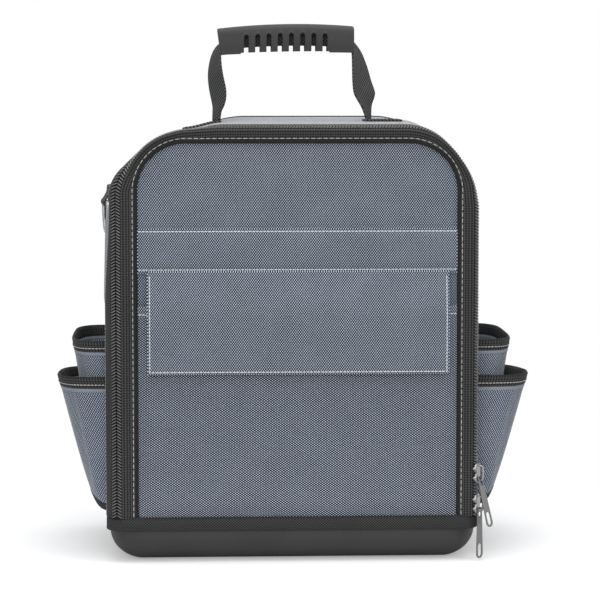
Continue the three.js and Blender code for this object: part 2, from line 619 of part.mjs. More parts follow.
function buildSidePockets() {
  for (const side of [-1, 1]) {
    buildSidePocket(side, 'outer', OUTER_POCKET_REACH, OUTER_POCKET_HEIGHT, SIDE_POCKET_LIFT, 0);
    const lift = SIDE_POCKET_LIFT + INNER_POCKET_STEP;
    buildSidePocket(side, 'inner', INNER_POCKET_REACH, INNER_POCKET_HEIGHT, lift, INNER_POCKET_TUCK);
  }
}

/** Round wire along a closed flat loop of [y, z] points. */
function wireLoop(line, radius) {
  const sides = RING_SIDES;
  const points = line.map(([y, z]) => new THREE.Vector2(y, z));
  const count = points.length;
  const normals = points.map((p, i) => {
    const along = points[(i + 1) % count].clone().sub(p).normalize();
    return new THREE.Vector2(along.y, -along.x);
  });
  const vertices = [];
  const triangles = [];
  points.forEach((p, i) => {
    const before = normals[(i + count - 1) % count];
    const mean = before.clone().add(normals[i]).normalize();
    const reach = radius / mean.dot(before);
    for (let k = 0; k < sides; k += 1) {
      const angle = ((k + 0.5) / sides) * 2 * Math.PI;
      const at = p.clone().addScaledVector(mean, reach * Math.cos(angle));
      vertices.push(new THREE.Vector3(radius * Math.sin(angle), at.x, at.y));
      const a = i * sides + k;
      const b = i * sides + ((k + 1) % sides);
      const next = ((i + 1) % count) * sides;
      triangles.push([a, b, next + (b % sides)], [a, next + (b % sides), next + k]);
    }
  });
  return outwardGeometry(vertices, triangles);
}

// Strap rings and the webbing loops that hold them
function buildStrapRings() {
  const bore = RING_WIRE / 2 + RING_PLAY;
  const loop = bore + RING_TAB_THICK;
  const tabShape = new THREE.Shape();
  const meet = Math.PI - Math.acos(bore / loop);
  tabShape.moveTo(-loop, 0);
  tabShape.lineTo(-loop, RING_TAB_LENGTH);
  tabShape.lineTo(-bore, RING_TAB_LENGTH);
  tabShape.lineTo(loop * Math.cos(meet), loop * Math.sin(meet));
  tabShape.absarc(0, 0, loop, meet, -Math.PI, true);
  tabShape.holes.push(new THREE.Path().absarc(0, 0, bore, 0, 2 * Math.PI));

  const half = RING_TAB_WIDTH / 2 + RING_SIDE_ROOM + RING_WIRE;
  const line = [[half - RING_WIRE, 0]];
  for (let i = 1; i < 2 * CORNER_STEPS; i += 1) {
    const angle = (i / (2 * CORNER_STEPS)) * Math.PI;
    line.push([half * Math.cos(angle), -RING_DROP * Math.sin(angle)]);
  }
  line.push([RING_WIRE - half, 0]);

  for (const side of [-1, 1]) {
    const name = side < 0 ? 'left' : 'right';
    const holder = new THREE.Group();
    const out = BODY_HALF_WIDTH + FIT + loop + (RING_TAB_WIDTH / 2) * Math.sin(RING_TURN);
    holder.position.set(side * out, RING_BACK, FLAP_TOP - RING_BELOW);
    holder.rotation.z = (side < 0 ? Math.PI : 0) - side * RING_TURN;
    bag.add(holder);
    addPart(`${name}_ring_tab`, plate(tabShape, -RING_TAB_WIDTH / 2, RING_TAB_WIDTH / 2), TAPE, holder);
    addPart(`${name}_d_ring`, wireLoop(line, RING_WIRE / 2), NICKEL, holder);
  }
}

// Handle: feet on the top, one webbing strap and the slotted grip over it
const FOOT_TOP = BODY_TOP + FIT + FOOT_THICK;
const PIVOT_Z = FOOT_TOP + FIT + WEBBING_PINCH / 2;
const GRIP_WIDTH = WEBBING_CORE + 2 * (GRIP_ROOM + GRIP_WALL);
const gripBow = (x) => GRIP_BOW * (1 - ((x - GRIP_SHIFT) / (GRIP_LENGTH / 2)) ** 2);
const GRIP_MIDDLE_Z = PIVOT_Z + GRIP_LIFT - GRIP_BOW;
const CORE_Z = GRIP_MIDDLE_Z + GRIP_HEIGHT / 2 - GRIP_CROWN - FIT - WEBBING_CORE / 2;

/** Ring across the strap at a point of its path, with its own width, thickness and twist. */
function strapRing(centre, tangent, width, thickness, twist) {
  const wide = new THREE.Vector3(0, 1, 0).applyAxisAngle(tangent, twist).multiplyScalar(width / 2);
  const thin = tangent.clone().cross(wide).normalize().multiplyScalar(thickness / 2);
  return [[1, 1], [-1, 1], [-1, -1], [1, -1]].map(([a, b]) => {
    return centre.clone().addScaledVector(wide, a).addScaledVector(thin, b);
  });
}

/** Rings of one side's strap, from its round lower end up into the grip. */
function strapRings(side) {
  const footX = FOOT_SHIFT + (side * FOOT_SPACING) / 2;
  const endX = GRIP_SHIFT + (side * GRIP_LENGTH) / 2;
  const turn = side * WEBBING_CORE;
  const path = new THREE.CatmullRomCurve3([
    [footX, PIVOT_Z],
    [(footX + endX) / 2 + side * STRAP_BULGE, (PIVOT_Z + CORE_Z) / 2],
    [endX - side * STRAP_ENTRY_IN, CORE_Z - STRAP_ENTRY_DROP],
    [endX - turn, CORE_Z + gripBow(endX - turn)],
  ].map(([x, z]) => new THREE.Vector3(x, 0, z)));
  const radius = WEBBING_PINCH / 2;
  const rings = Array.from({ length: STRAP_END_STEPS }, (_, i) => {
    const angle = (STRAP_END_TURN * (1 - i / STRAP_END_STEPS) * Math.PI) / 2;
    const centre = new THREE.Vector3(footX, 0, PIVOT_Z - radius * Math.sin(angle));
    const width = WEBBING_PINCH * Math.cos(angle);
    return strapRing(centre, new THREE.Vector3(0, 0, 1), width, WEBBING_FOLD, 0);
  });
  const { lerp } = THREE.MathUtils;
  for (let i = 0; i <= STRAP_STEPS; i += 1) {
    const share = i / STRAP_STEPS;
    const open = Math.sin(Math.PI * Math.min(share / STRAP_FREE, 1)) ** STRAP_SPREAD;
    const width = lerp(lerp(WEBBING_PINCH, WEBBING_CORE, share), WEBBING_WIDTH, open);
    const thickness = lerp(lerp(WEBBING_FOLD, WEBBING_CORE, share), WEBBING_THICK, open);
    const tangent = i === STRAP_STEPS ? new THREE.Vector3(-side, 0, 0) : path.getTangent(share);
    rings.push(strapRing(path.getPoint(share), tangent, width, thickness, side * WEBBING_TWIST * open));
  }
  return rings;
}

function buildHandle() {
  for (const side of [-1, 1]) {
    const inner = FOOT_SPACING / 2 - FOOT_OVERRUN;
    const ends = [inner, inner + FOOT_LENGTH].map((reach) => FOOT_SHIFT + side * reach);
    const xs = ends.sort((a, b) => a - b);
    const foot = block([xs[0], -FOOT_WIDTH / 2, BODY_TOP + FIT], [xs[1], FOOT_WIDTH / 2, FOOT_TOP]);
    addPart(side < 0 ? 'left_handle_foot' : 'right_handle_foot', foot, TAPE);
  }

  const left = strapRings(-1);
  const right = strapRings(1).reverse().map((ring) => ring.reverse());
  const reach = GRIP_LENGTH / 2 - 2 * WEBBING_CORE;
  const core = [-1, -0.5, 0, 0.5, 1].map((share) => {
    const x = GRIP_SHIFT + share * reach;
    const centre = new THREE.Vector3(x, 0, CORE_Z + gripBow(x));
    return strapRing(centre, new THREE.Vector3(1, 0, 0), WEBBING_CORE, WEBBING_CORE, 0);
  });
  addPart('handle_webbing', loft([...left, ...core, ...right]), TAPE);

  const w = GRIP_WIDTH / 2;
  const h = GRIP_HEIGHT / 2;
  const room = w - GRIP_WALL;
  const profile = [
    [w - GRIP_FOOT_IN, -h],
    [w, -GRIP_SIDE_LOW],
    [w, GRIP_SIDE_HIGH],
    [w - GRIP_SHOULDER_IN, h - GRIP_SHOULDER_DROP],
    [GRIP_TOP_HALF, h],
    [-GRIP_TOP_HALF, h],
    [GRIP_SHOULDER_IN - w, h - GRIP_SHOULDER_DROP],
    [-w, GRIP_SIDE_HIGH],
    [-w, -GRIP_SIDE_LOW],
    [GRIP_FOOT_IN - w, -h],
    [-room, -h],
    [-room, h - GRIP_CROWN],
    [room, h - GRIP_CROWN],
    [room, -h],
  ];
  const rings = Array.from({ length: GRIP_STEPS + 1 }, (_, i) => {
    const x = GRIP_SHIFT + GRIP_LENGTH * (i / GRIP_STEPS - 0.5);
    return profile.map(([y, z]) => new THREE.Vector3(x, y, GRIP_MIDDLE_Z + gripBow(x) + z));
  });
  const below = GRIP_MIDDLE_Z - GRIP_HEIGHT;
  const slots = Array.from({ length: GRIP_SLOTS }, (_, i) => {
    const x = GRIP_SHIFT + (i - (GRIP_SLOTS - 1) / 2) * GRIP_SLOT_PITCH;
    const top = GRIP_MIDDLE_Z + gripBow(x) - h + GRIP_SLOT_HEIGHT;
    const half = GRIP_SLOT_WIDTH / 2;
    const shape = archShape(x, half, below, top, GRIP_SLOT_ROUND * half);
    return plate(shape, -GRIP_WIDTH, GRIP_WIDTH);
  });
  const ribReach = (GRIP_SLOTS * GRIP_SLOT_PITCH) / 2;
  const ribEnd = GRIP_MIDDLE_Z + gripBow(GRIP_SHIFT + ribReach) - h + GRIP_RIB_SHORT;
  const underRibs = block(
    [GRIP_SHIFT - ribReach, -GRIP_WIDTH, below],
    [GRIP_SHIFT + ribReach, GRIP_WIDTH, ribEnd],
  );
  addPart('handle_grip', cut(loft(rings), underRibs, ...slots), RUBBER);
}

// Zip sliders: local X runs across the zip, local -Y points out of it
const PLATE_IN = TAPE_THICK / 2 + FIT + TEETH_HEIGHT + FIT; // outer plate's inner face, above the tape's middle
const PLATE_OUT = PLATE_IN + SLIDER_PLATE;
const CROWN_ROOM = Math.hypot(PULL_BAR, PULL_THICK) + 2 * SWING_GAP;
const PULL_BAR_OUT = PLATE_OUT + CROWN_ROOM / 2;
const PULL_BAR_DOWN = CROWN_LENGTH / 2 - CROWN_LEG - CROWN_ROOM / 2;
const SLIDER_WIDTH = 2 * (TEETH_WIDTH + SLIDER_PLAY + SLIDER_RIM) + PARTING;
const SLIDER_BLADE = PARTING - 2 * FIT;
const PULL_WIDTH = CROWN_WIDTH + 2 * (PULL_PLAY + PULL_LEG);
const PULL_WINDOW = CROWN_ROOM / 2 + CROWN_LEG + CROWN_TOP + PULL_WINDOW_PLAY;

function sliderGeometry() {
  const half = SLIDER_WIDTH / 2;
  const long = SLIDER_LENGTH / 2;
  const backIn = TAPE_THICK / 2 + FIT;
  const lap = SLIDER_PLATE / 3; // joined pieces run into each other by this much
  const pieces = [
    block([-half, -PLATE_OUT, -long], [half, -PLATE_IN, long]),
    block([-half + SLIDER_BACK_INSET, backIn, -long], [half - SLIDER_RIM, backIn + SLIDER_PLATE, long]),
    block(
      [-SLIDER_BLADE / 2, -PLATE_IN - lap, -SLIDER_BLADE_LENGTH / 2],
      [SLIDER_BLADE / 2, backIn + lap, SLIDER_BLADE_LENGTH / 2],
    ),
  ];
  for (const end of [-half, half - SLIDER_RIM]) {
    pieces.push(block([end, -PLATE_IN - lap, -long], [end + SLIDER_RIM, -backIn, long]));
  }
  const reach = CROWN_LENGTH / 2;
  const top = CROWN_ROOM + CROWN_TOP;
  const crownShape = new THREE.Shape();
  crownShape.moveTo(-reach, -lap);
  crownShape.lineTo(reach, -lap);
  crownShape.lineTo(reach, top - CROWN_LEG);
  crownShape.lineTo(reach - CROWN_LEG, top);
  crownShape.lineTo(CROWN_LEG - reach, top);
  crownShape.lineTo(-reach, top - CROWN_LEG);
  const inside = reach - CROWN_LEG;
  crownShape.holes.push(new THREE.Path([
    new THREE.Vector2(-inside, 0),
    new THREE.Vector2(-inside, CROWN_ROOM),
    new THREE.Vector2(inside, CROWN_ROOM),
    new THREE.Vector2(inside, 0),
  ]));
  const crown = new THREE.ExtrudeGeometry(crownShape, { depth: CROWN_WIDTH, bevelEnabled: false });
  const turn = new THREE.Matrix4().makeBasis(
    new THREE.Vector3(0, 0, 1),
    new THREE.Vector3(0, -1, 0),
    new THREE.Vector3(1, 0, 0),
  );
  crown.translate(0, 0, -CROWN_WIDTH / 2).applyMatrix4(turn).translate(0, -PLATE_OUT, 0);
  return join(...pieces, crown);
}

/** Pull tab hanging from its bar, which lies along X at the origin. */
function pullGeometry() {
  const half = PULL_WIDTH / 2;
  const shape = new THREE.Shape();
  shape.moveTo(-half, PULL_BAR / 2);
  shape.lineTo(-half, half - PULL_LENGTH);
  shape.absarc(0, half - PULL_LENGTH, half, Math.PI, 2 * Math.PI);
  shape.lineTo(half, PULL_BAR / 2);
  const side = half - PULL_LEG;
  const low = -PULL_BAR / 2 - PULL_WINDOW;
  shape.holes.push(new THREE.Path([
    new THREE.Vector2(-side, low),
    new THREE.Vector2(-side, -PULL_BAR / 2),
    new THREE.Vector2(side, -PULL_BAR / 2),
    new THREE.Vector2(side, low),
  ]));
  const eye = PULL_EYE_WIDTH / 2;
  const eyeLow = PULL_EYE_EDGE + eye - PULL_LENGTH;
  const eyeShape = new THREE.Path();
  eyeShape.absarc(0, eyeLow, eye, Math.PI, 2 * Math.PI);
  eyeShape.absarc(0, eyeLow + PULL_EYE_LENGTH - 2 * eye, eye, 0, Math.PI);
  shape.holes.push(eyeShape);
  return plate(shape, -PULL_THICK / 2, PULL_THICK / 2);
}

function buildSliders() {
  const places = [
    ['lower', LOWER_SLIDER_Z, LOWER_PULL_TILT],
    ['upper', UPPER_SLIDER_Z, UPPER_PULL_TILT],
  ];
  for (const [name, z, tilt] of places) {
    const holder = new THREE.Group();
    const x = FLAP_MIDDLE + FLAP_HALF_WIDTH + ZIP_MIDDLE * Math.cos(ZIP_ROLL_RIGHT);
    holder.position.set(x, FRONT_Y + ZIP_MIDDLE * Math.sin(ZIP_ROLL_RIGHT), z);
    holder.rotation.z = ZIP_ROLL_RIGHT;
    bag.add(holder);
    addPart(`${name}_slider`, sliderGeometry(), NICKEL, holder);
    const pull = addPart(`${name}_pull`, pullGeometry(), NICKEL, holder);
    pull.position.set(0, -PULL_BAR_OUT, -PULL_BAR_DOWN);
    pull.rotation.x = -tilt;
  }
}

buildBase();
buildGussets();
buildRear();
buildZip();
buildFlap();
buildPocketCover();
buildSidePockets();
buildStrapRings();
buildHandle();
buildSliders();

export default bag;
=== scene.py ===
"""Looks of an upright tool bag with a zip-round front flap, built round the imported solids.

Lengths are millimetres until they become mesh points. The stage, the lamps and the camera are placed
in metres. The zipped front faces -Y and +Z is up. A way is a direction, and a run is a distance
along the zip's turned edge.
"""

import json
import math

import bmesh
import bpy
import mathutils
import numpy as np
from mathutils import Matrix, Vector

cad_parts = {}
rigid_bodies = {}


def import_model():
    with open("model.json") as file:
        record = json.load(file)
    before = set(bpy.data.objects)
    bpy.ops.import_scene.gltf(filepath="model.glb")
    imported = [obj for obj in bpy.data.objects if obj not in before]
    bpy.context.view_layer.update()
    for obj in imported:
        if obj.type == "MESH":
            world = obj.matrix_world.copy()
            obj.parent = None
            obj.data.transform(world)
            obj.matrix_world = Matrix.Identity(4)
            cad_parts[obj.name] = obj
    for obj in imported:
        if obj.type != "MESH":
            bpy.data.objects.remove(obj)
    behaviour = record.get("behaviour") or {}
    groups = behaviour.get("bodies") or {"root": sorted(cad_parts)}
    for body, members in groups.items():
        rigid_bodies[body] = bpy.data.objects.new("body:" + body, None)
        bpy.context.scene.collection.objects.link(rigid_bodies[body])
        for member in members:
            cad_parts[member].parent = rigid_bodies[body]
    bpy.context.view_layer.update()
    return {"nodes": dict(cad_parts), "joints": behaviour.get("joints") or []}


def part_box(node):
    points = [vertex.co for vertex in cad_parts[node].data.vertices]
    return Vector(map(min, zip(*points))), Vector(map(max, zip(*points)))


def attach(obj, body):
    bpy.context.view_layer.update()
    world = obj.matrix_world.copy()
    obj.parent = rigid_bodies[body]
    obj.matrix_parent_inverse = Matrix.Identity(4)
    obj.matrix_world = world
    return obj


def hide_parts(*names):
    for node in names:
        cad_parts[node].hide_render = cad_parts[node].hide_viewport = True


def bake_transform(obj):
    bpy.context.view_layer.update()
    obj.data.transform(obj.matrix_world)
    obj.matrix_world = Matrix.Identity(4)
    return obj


bpy.data.batch_remove(list(bpy.data.objects))
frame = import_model()

MM = 0.001
TURN = 2 * math.pi
MERGE = 1e-6  # metres, points closer than this are one point
UPRIGHT = np.array([0, 0, 1.0])
FORWARD = np.array([0, -1, 0])
BACKWARD = -FORWARD


def corners(node):
    """Lowest and highest corner of a solid."""
    return [np.array(corner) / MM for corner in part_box(node)]


def joint_place(name):
    """Place of a joint."""
    return np.array(next(joint for joint in frame["joints"] if joint["name"] == name)["pos_m"]) / MM


# Places of the solids
FIT = 0.3  # gap between neighbouring solids
panel_low, panel_high = corners("flap_panel")
PANEL_INSET = 6.5  # flap's cloth, in from the turned edge of its tape
FLAP_MIDDLE = (panel_low[0] + panel_high[0]) / 2
FLAP_HALF = (panel_high[0] - panel_low[0]) / 2 + PANEL_INSET
FLAP_BOTTOM = panel_low[2]
FLAP_TOP = panel_high[2] + PANEL_INSET
FLAP_CORNER = 54
SIDE_TOP = FLAP_TOP - FLAP_CORNER
BODY_HALF, BACK_Y, _ = corners("rear_panel")[1]
FRONT_Y = -BACK_Y

# Zip: the flap's tape, the turned edge, a band with both rows of teeth and the body's lap
LEFT_ROLL = math.radians(20)  # band's turn out of the front's plane, on the left side
ROLL = math.radians(65)  # on the right side, and along the top at the rear
TOP_ROLL = math.radians(72)  # along the top, in front
CORNER_ROLL = math.radians(90)  # half way round the top corners
LEFT_TURN = 32  # run along the top over which the left corner's roll eases
TOP_LOW = 2.0  # top edge in front, in from its solid
CORNER_LOW = 4.4  # the same at the top corners
TAPE_WIDTH = 12.5
TAPE_DROP = 3.1  # how far back the tape's inner edge lies
TAPE_THICK = 1.2
TEETH_EDGE = 0.9  # bare tape beside the teeth
TEETH_WIDTH = 3.4
PARTING = 1.2  # between the two rows
FLAP_TEETH_END = TEETH_EDGE + TEETH_WIDTH
BODY_TEETH_START = FLAP_TEETH_END + PARTING
ZIP_BAND = BODY_TEETH_START + TEETH_WIDTH + TEETH_EDGE
ZIP_MIDDLE = FLAP_TEETH_END + PARTING / 2
TEETH_UP = 1.75  # teeth's middle, above the band
TOOTH_PITCH = 2.6
LAP_BEND = 2.5  # depth that the tape takes to bend on to the wall
LAP_WIDTH = 8
LAP_START_Y = FRONT_Y + ZIP_BAND * math.sin(CORNER_ROLL) + LAP_BEND
LAP_END_Y = LAP_START_Y + LAP_WIDTH
GUSSET_FRONT_Y = LAP_START_Y + TAPE_THICK
GUSSET_BACK_Y = corners("rear_panel")[0][1] - FIT
SLIDER_FREE_Z = corners("flap_zip_teeth")[0][2]  # the flap's chain starts above the parked sliders

# Run along the turned edge: left side, left corner, top, right corner, right side
SIDE_RUN = SIDE_TOP - FLAP_BOTTOM
ARC_RUN = FLAP_CORNER * math.pi / 2
TOP_RUN = 2 * (FLAP_HALF - FLAP_CORNER)
RUN_MARKS = np.cumsum([0, SIDE_RUN, ARC_RUN, TOP_RUN, ARC_RUN, SIDE_RUN])
EDGE_RUN = RUN_MARKS[-1]
RUN_STEP = 3
RIGHT_EASE = RUN_MARKS[4] + np.array([-30, 13])  # right corner's roll ends above the sliders' highest place

# Slack cloth: where each slack shape sets in and is full, and how far it goes
LET_IN_OUT = (-9, 1)  # outward from the turned edge
SLACK_Y = (-80, 60)
LEFT_SINK_X = (38, 112)  # away from the middle plane
RIGHT_SINK_X = (80, 140)
REAR_SINK_Y = (20, BACK_Y)
SINK_Z = (SIDE_TOP - 40, FLAP_TOP - 12)
LEFT_SINK = 8.0
RIGHT_SINK = 12.5
LEFT_LEAN = 5.6  # the left corner's further sinking, which sets in nearer the front
REAR_LIFT = 1.2  # the top's rear edge, above its solid
TOP_FACING = (0.7, 1)  # upward share of the outward way
LEFT_SLACK = 3.0
LEFT_FACING = (0.3, 1)  # leftward share
LEFT_SLACK_Z = (215, 305)


# Shapes
def fade(value, low, high):
    """Smooth step from nought at low to one at high: share squared times three less twice the share."""
    share = np.clip((value - low) / (high - low), 0, 1)
    return share * share * (3 - 2 * share)


def bowed(value, power):
    """Size of a value raised to a power, with the value's sign."""
    return np.sign(value) * np.abs(value) ** power


def unit(vectors):
    """Vectors of length one."""
    return vectors / np.maximum(np.linalg.norm(vectors, axis=-1, keepdims=True), 1e-9)


def circle(count):
    """Evenly spaced angles round a full turn."""
    return np.linspace(0, TURN, count, endpoint=False)


def pair(first, second):
    """Points in a plane from two coordinates that are spread over each other."""
    return np.stack(np.broadcast_arrays(first, second), -1)


def spread(x, y, z):
    """Points from three coordinates that are spread over each other."""
    return np.stack(np.broadcast_arrays(x, y, z), -1)


def edge_angle(run):
    """Angle of the outward way: half a turn on the left side, a quarter on the top, none on the right."""
    return np.interp(run, RUN_MARKS, np.array([2, 2, 1, 1, 0, 0]) * math.pi / 2)


def edge(run, top_roll=TOP_ROLL):
    """Turned edge after a run from the left foot: place in x and z, outward way and the zip's roll.

    The corner's centre slides up the left side, over the top and down the right side, and the place
    lies one corner radius from it along the outward way. The roll changes evenly round the corners,
    and smooth steps take it to the corners' own roll there.
    """
    angle = edge_angle(run)
    reach = FLAP_HALF - FLAP_CORNER
    middle = FLAP_MIDDLE + np.interp(run, RUN_MARKS[[0, 2, 3, 5]], [-reach, -reach, reach, reach])
    height = np.interp(run, RUN_MARKS[[0, 1, 4, 5]], [FLAP_BOTTOM, SIDE_TOP, SIDE_TOP, FLAP_BOTTOM])
    out = pair(np.cos(angle), np.sin(angle))
    place = pair(middle, height) + FLAP_CORNER * out
    even = np.interp(run, RUN_MARKS, [LEFT_ROLL, LEFT_ROLL, top_roll, top_roll, ROLL, ROLL])
    _, left, top, top_end, _, _ = RUN_MARKS
    at_left = fade(run, left, left + ARC_RUN / 2) * (1 - fade(run, top, top + LEFT_TURN))
    at_right = fade(run, top_end, top_end + ARC_RUN / 2) * (1 - fade(run, *RIGHT_EASE))
    return place, out, even + (CORNER_ROLL - even) * np.maximum(at_left, at_right)


def let_in(run, depth):
    """How far the front's outer part is let in: straight steps between marks on the run, less in depth."""
    _, left, top, top_end, _, _ = RUN_MARKS
    marks = (
        (left, 0), (left + 0.25 * ARC_RUN, 0.9 * CORNER_LOW), (left + 0.85 * ARC_RUN, CORNER_LOW),
        (top + 25, TOP_LOW), (top_end - 5, TOP_LOW), (top_end + 0.3 * ARC_RUN, 0.7 * CORNER_LOW),
        (top_end + 0.5 * ARC_RUN, CORNER_LOW), (RIGHT_EASE[0], CORNER_LOW), (RIGHT_EASE[1], 0),
    )
    return np.interp(run, *zip(*marks)) * (1 - fade(depth, *SLACK_Y))


def off_edge(run, section):
    """Grid of points: for each run along the edge, a row of (outward, y) pairs.

    The outer part of the front is let in, in a smooth step outward.
    """
    place, out, _ = edge(run)
    away, depth = section[..., :1], section[..., 1:]
    low = let_in(np.asarray(run)[:, None, None], depth) * fade(away, *LET_IN_OUT)
    flat = place[:, None] + (away - low) * out[:, None]
    return spread(flat[..., 0], depth[..., 0], flat[..., 1])


def edge_line(run, out, y):
    """Line of points along the edge, at an outward distance and a depth."""
    return off_edge(run, pair(out, y)[..., None, :])[:, 0]


def edge_ways(run):
    """Outward ways along the edge, with no depth."""
    out = edge(run)[1]
    return spread(out[:, 0], 0, out[:, 1])


def on_band(roll, along, up):
    """Place on the zip's band, rolled out of the front's plane: along it and up from it, as (outward, y)."""
    out = along * np.cos(roll) + up * np.sin(roll)
    return pair(out, FRONT_Y + along * np.sin(roll) - up * np.cos(roll))


def on_tape(inward, lift):
    """Place on the flap's tape, in from the turned edge and up from its slanting face, as (outward, y)."""
    return -inward, FRONT_Y + TAPE_DROP * inward / TAPE_WIDTH - TAPE_THICK / 2 - lift


def body_offset(roll):
    """Turned edge to the gusset's face: the band's width, foreshortened by its roll, and the fit."""
    return ZIP_BAND * np.cos(roll) + FIT


def rear_offset(run):
    """Turned edge to the gusset's face at the rear, where the top stands higher than in front."""
    _, out, roll = edge(run, ROLL)
    return body_offset(roll) + REAR_LIFT * fade(out[:, 1], *TOP_FACING)


def left_slack(run):
    """How far the left wall's front edge stands out past the zip, fading out towards the corner."""
    place, out, _ = edge(run)
    return LEFT_SLACK * fade(-out[:, 0], *LEFT_FACING) * (1 - fade(place[:, 1], *LEFT_SLACK_Z))


def runs(start=0.0, end=EDGE_RUN, step=RUN_STEP):
    """Evenly spaced runs."""
    return np.linspace(start, end, max(int((end - start) / step), 2) + 1)


def soften(points, rounds=2):
    """Cuts the corners of open rows of points: each side keeps its middle half, and the ends stay."""
    for _ in range(rounds):
        near = points[..., :-1, :] * 0.75 + points[..., 1:, :] * 0.25
        far = points[..., :-1, :] * 0.25 + points[..., 1:, :] * 0.75
        inner = np.stack([near, far], -2).reshape(*points.shape[:-2], -1, points.shape[-1])
        points = np.concatenate([points[..., :1, :], inner, points[..., -1:, :]], -2)
    return points


def smooth_line(marks, count):
    """Smooth row of points through marks: cubic pieces whose slope at a mark follows its neighbours."""
    marks = np.asarray(marks, float)
    way = np.gradient(marks, axis=0)
    share = np.linspace(0, len(marks) - 1 - 1e-9, count)
    low = share.astype(int)
    t = (share - low)[:, None]
    points = (2 * t**3 - 3 * t**2 + 1) * marks[low] + (t**3 - 2 * t**2 + t) * way[low]
    return points + (3 * t**2 - 2 * t**3) * marks[low + 1] + (t**3 - t**2) * way[low + 1]


def sink(points):
    """Points of the slack top let down: nothing at the front, most at the rear corners, in smooth steps."""
    x, y, z = np.moveaxis(points, -1, 0)
    left, right = fade(-x, *LEFT_SINK_X), fade(x, *RIGHT_SINK_X)
    rear = (LEFT_SINK * left + RIGHT_SINK * right) * fade(y, *REAR_SINK_Y)
    drop = (rear + LEFT_LEAN * left * fade(y, *SLACK_Y)) * fade(z, *SINK_Z)
    return points - drop[..., None] * UPRIGHT


def rounded_ring(half_width, half_depth, corner, height, steps=10):
    """Ring round a rectangle with round corners: each corner's centre plus a quarter circle."""
    angle = np.concatenate([np.linspace(q, q + 1, steps + 1) for q in range(4)]) * math.pi / 2
    quarter = np.repeat(np.arange(4), steps + 1)
    middle_x = np.where((quarter == 0) | (quarter == 3), 1, -1) * (half_width - corner)
    middle_y = np.where(quarter < 2, 1, -1) * (half_depth - corner)
    return spread(middle_x + corner * np.cos(angle), middle_y + corner * np.sin(angle), height)


def widened(points, left, right):
    """Points moved out from the middle plane, by one amount on the left and another on the right."""
    return points + spread(np.where(points[..., 0] < 0, -left, right), 0, 0)


# Meshes
def grid_faces(rows, columns):
    """Quads between neighbouring points of a grid."""
    corner = np.arange(rows * columns).reshape(rows, columns)
    return np.stack([corner[:-1, :-1], corner[:-1, 1:], corner[1:, 1:], corner[1:, :-1]], -1).reshape(-1, 4)


def walked(line):
    """Way walked along a line of points, up to each of them."""
    return np.concatenate([[0], np.cumsum(np.linalg.norm(np.diff(line, axis=0), axis=1))])


def lengths(points):
    """Surface places: the way walked across each row from its middle, and along the grid's rows."""
    across = np.cumsum(np.linalg.norm(np.diff(points, axis=1, prepend=points[:, :1]), axis=-1), axis=1)
    along = np.cumsum(np.linalg.norm(np.diff(points, axis=0, prepend=points[:1]), axis=-1).mean(1))
    return pair(across - across[:, points.shape[1] // 2, None], along[:, None])


def grid_normals(points):
    """Normals of a grid of points: the cross product of the steps along its rows and columns."""
    return unit(np.cross(np.gradient(points, axis=1), np.gradient(points, axis=0)))


def link_object(name, data):
    """New object in the scene."""
    holder = bpy.data.objects.new(name, data)
    bpy.context.scene.collection.objects.link(holder)
    return holder


def add_mesh(name, points, faces, places, finish, sharp=50):
    """One closed mesh piece, with doubles merged, faces pointing out and edges past an angle kept sharp."""
    mesh = bpy.data.meshes.new(name)
    mesh.from_pydata((points.reshape(-1, 3) * MM).tolist(), [], faces)
    loops = np.empty(len(mesh.loops), np.int32)
    mesh.loops.foreach_get("vertex_index", loops)
    layer = mesh.uv_layers.new(name="UVMap")
    layer.data.foreach_set("uv", (places.reshape(-1, 2)[loops] * MM).astype(np.float32).ravel())
    work = bmesh.new()
    work.from_mesh(mesh)
    bmesh.ops.remove_doubles(work, verts=work.verts, dist=MERGE)
    bmesh.ops.recalc_face_normals(work, faces=work.faces)
    work.to_mesh(mesh)
    work.free()
    mesh.shade_smooth()
    mesh.set_sharp_from_angle(angle=math.radians(sharp))
    mesh.materials.append(finish)
    return link_object(name, mesh)


def sheet_piece(name, points, thickness, finish, places=None):
    """Sheet of even thickness: the grid moved half of it both ways along its normals.

    A row of points half the thickness outside the grid's border rounds the sheet's edge.
    """
    rows, columns = points.shape[:2]
    flat = (lengths(points) if places is None else places).reshape(-1, 2)
    half = thickness / 2
    normal = grid_normals(points)
    away = np.zeros_like(points)
    away[0] += unit(points[0] - points[1])
    away[-1] += unit(points[-1] - points[-2])
    away[:, 0] += unit(points[:, 0] - points[:, 1])
    away[:, -1] += unit(points[:, -1] - points[:, -2])
    count = rows * columns
    corner = np.arange(count).reshape(rows, columns)
    border = np.concatenate([corner[0], corner[1:, -1], corner[-1, -2::-1], corner[-2:0:-1, 0]])
    middle = 2 * count + np.arange(len(border))
    ahead = np.roll(border, -1)
    middle_ahead = np.roll(middle, -1)
    front = grid_faces(rows, columns)
    near_rim = np.stack([border, ahead, middle_ahead, middle], -1)
    far_rim = np.stack([middle, middle_ahead, count + ahead, count + border], -1)
    faces = np.concatenate([front, count + front[:, ::-1], near_rim, far_rim]).tolist()
    layers = [points + normal * half, points - normal * half, points + unit(away) * half]
    near, far, rim = [layer.reshape(-1, 3) for layer in layers]
    skin = np.concatenate([near, far, rim[border]])
    return add_mesh(name, skin, faces, np.concatenate([flat, flat, flat[border]]), finish)


def tube_piece(name, rings, finish, closed=False, sharp=50):
    """Skin round a row of closed rings, joined end to end or with a flat cap on each end."""
    skin = np.concatenate([rings, rings[:, :1]], 1)
    if closed:
        skin = np.concatenate([skin, skin[:1]], 0)
    rows, columns = skin.shape[:2]
    faces = grid_faces(rows, columns).tolist()
    if not closed:
        faces.append(list(range(columns - 1)))
        faces.append(list(range((rows - 1) * columns, rows * columns - 1)))
    return add_mesh(name, skin, faces, lengths(skin), finish, sharp)


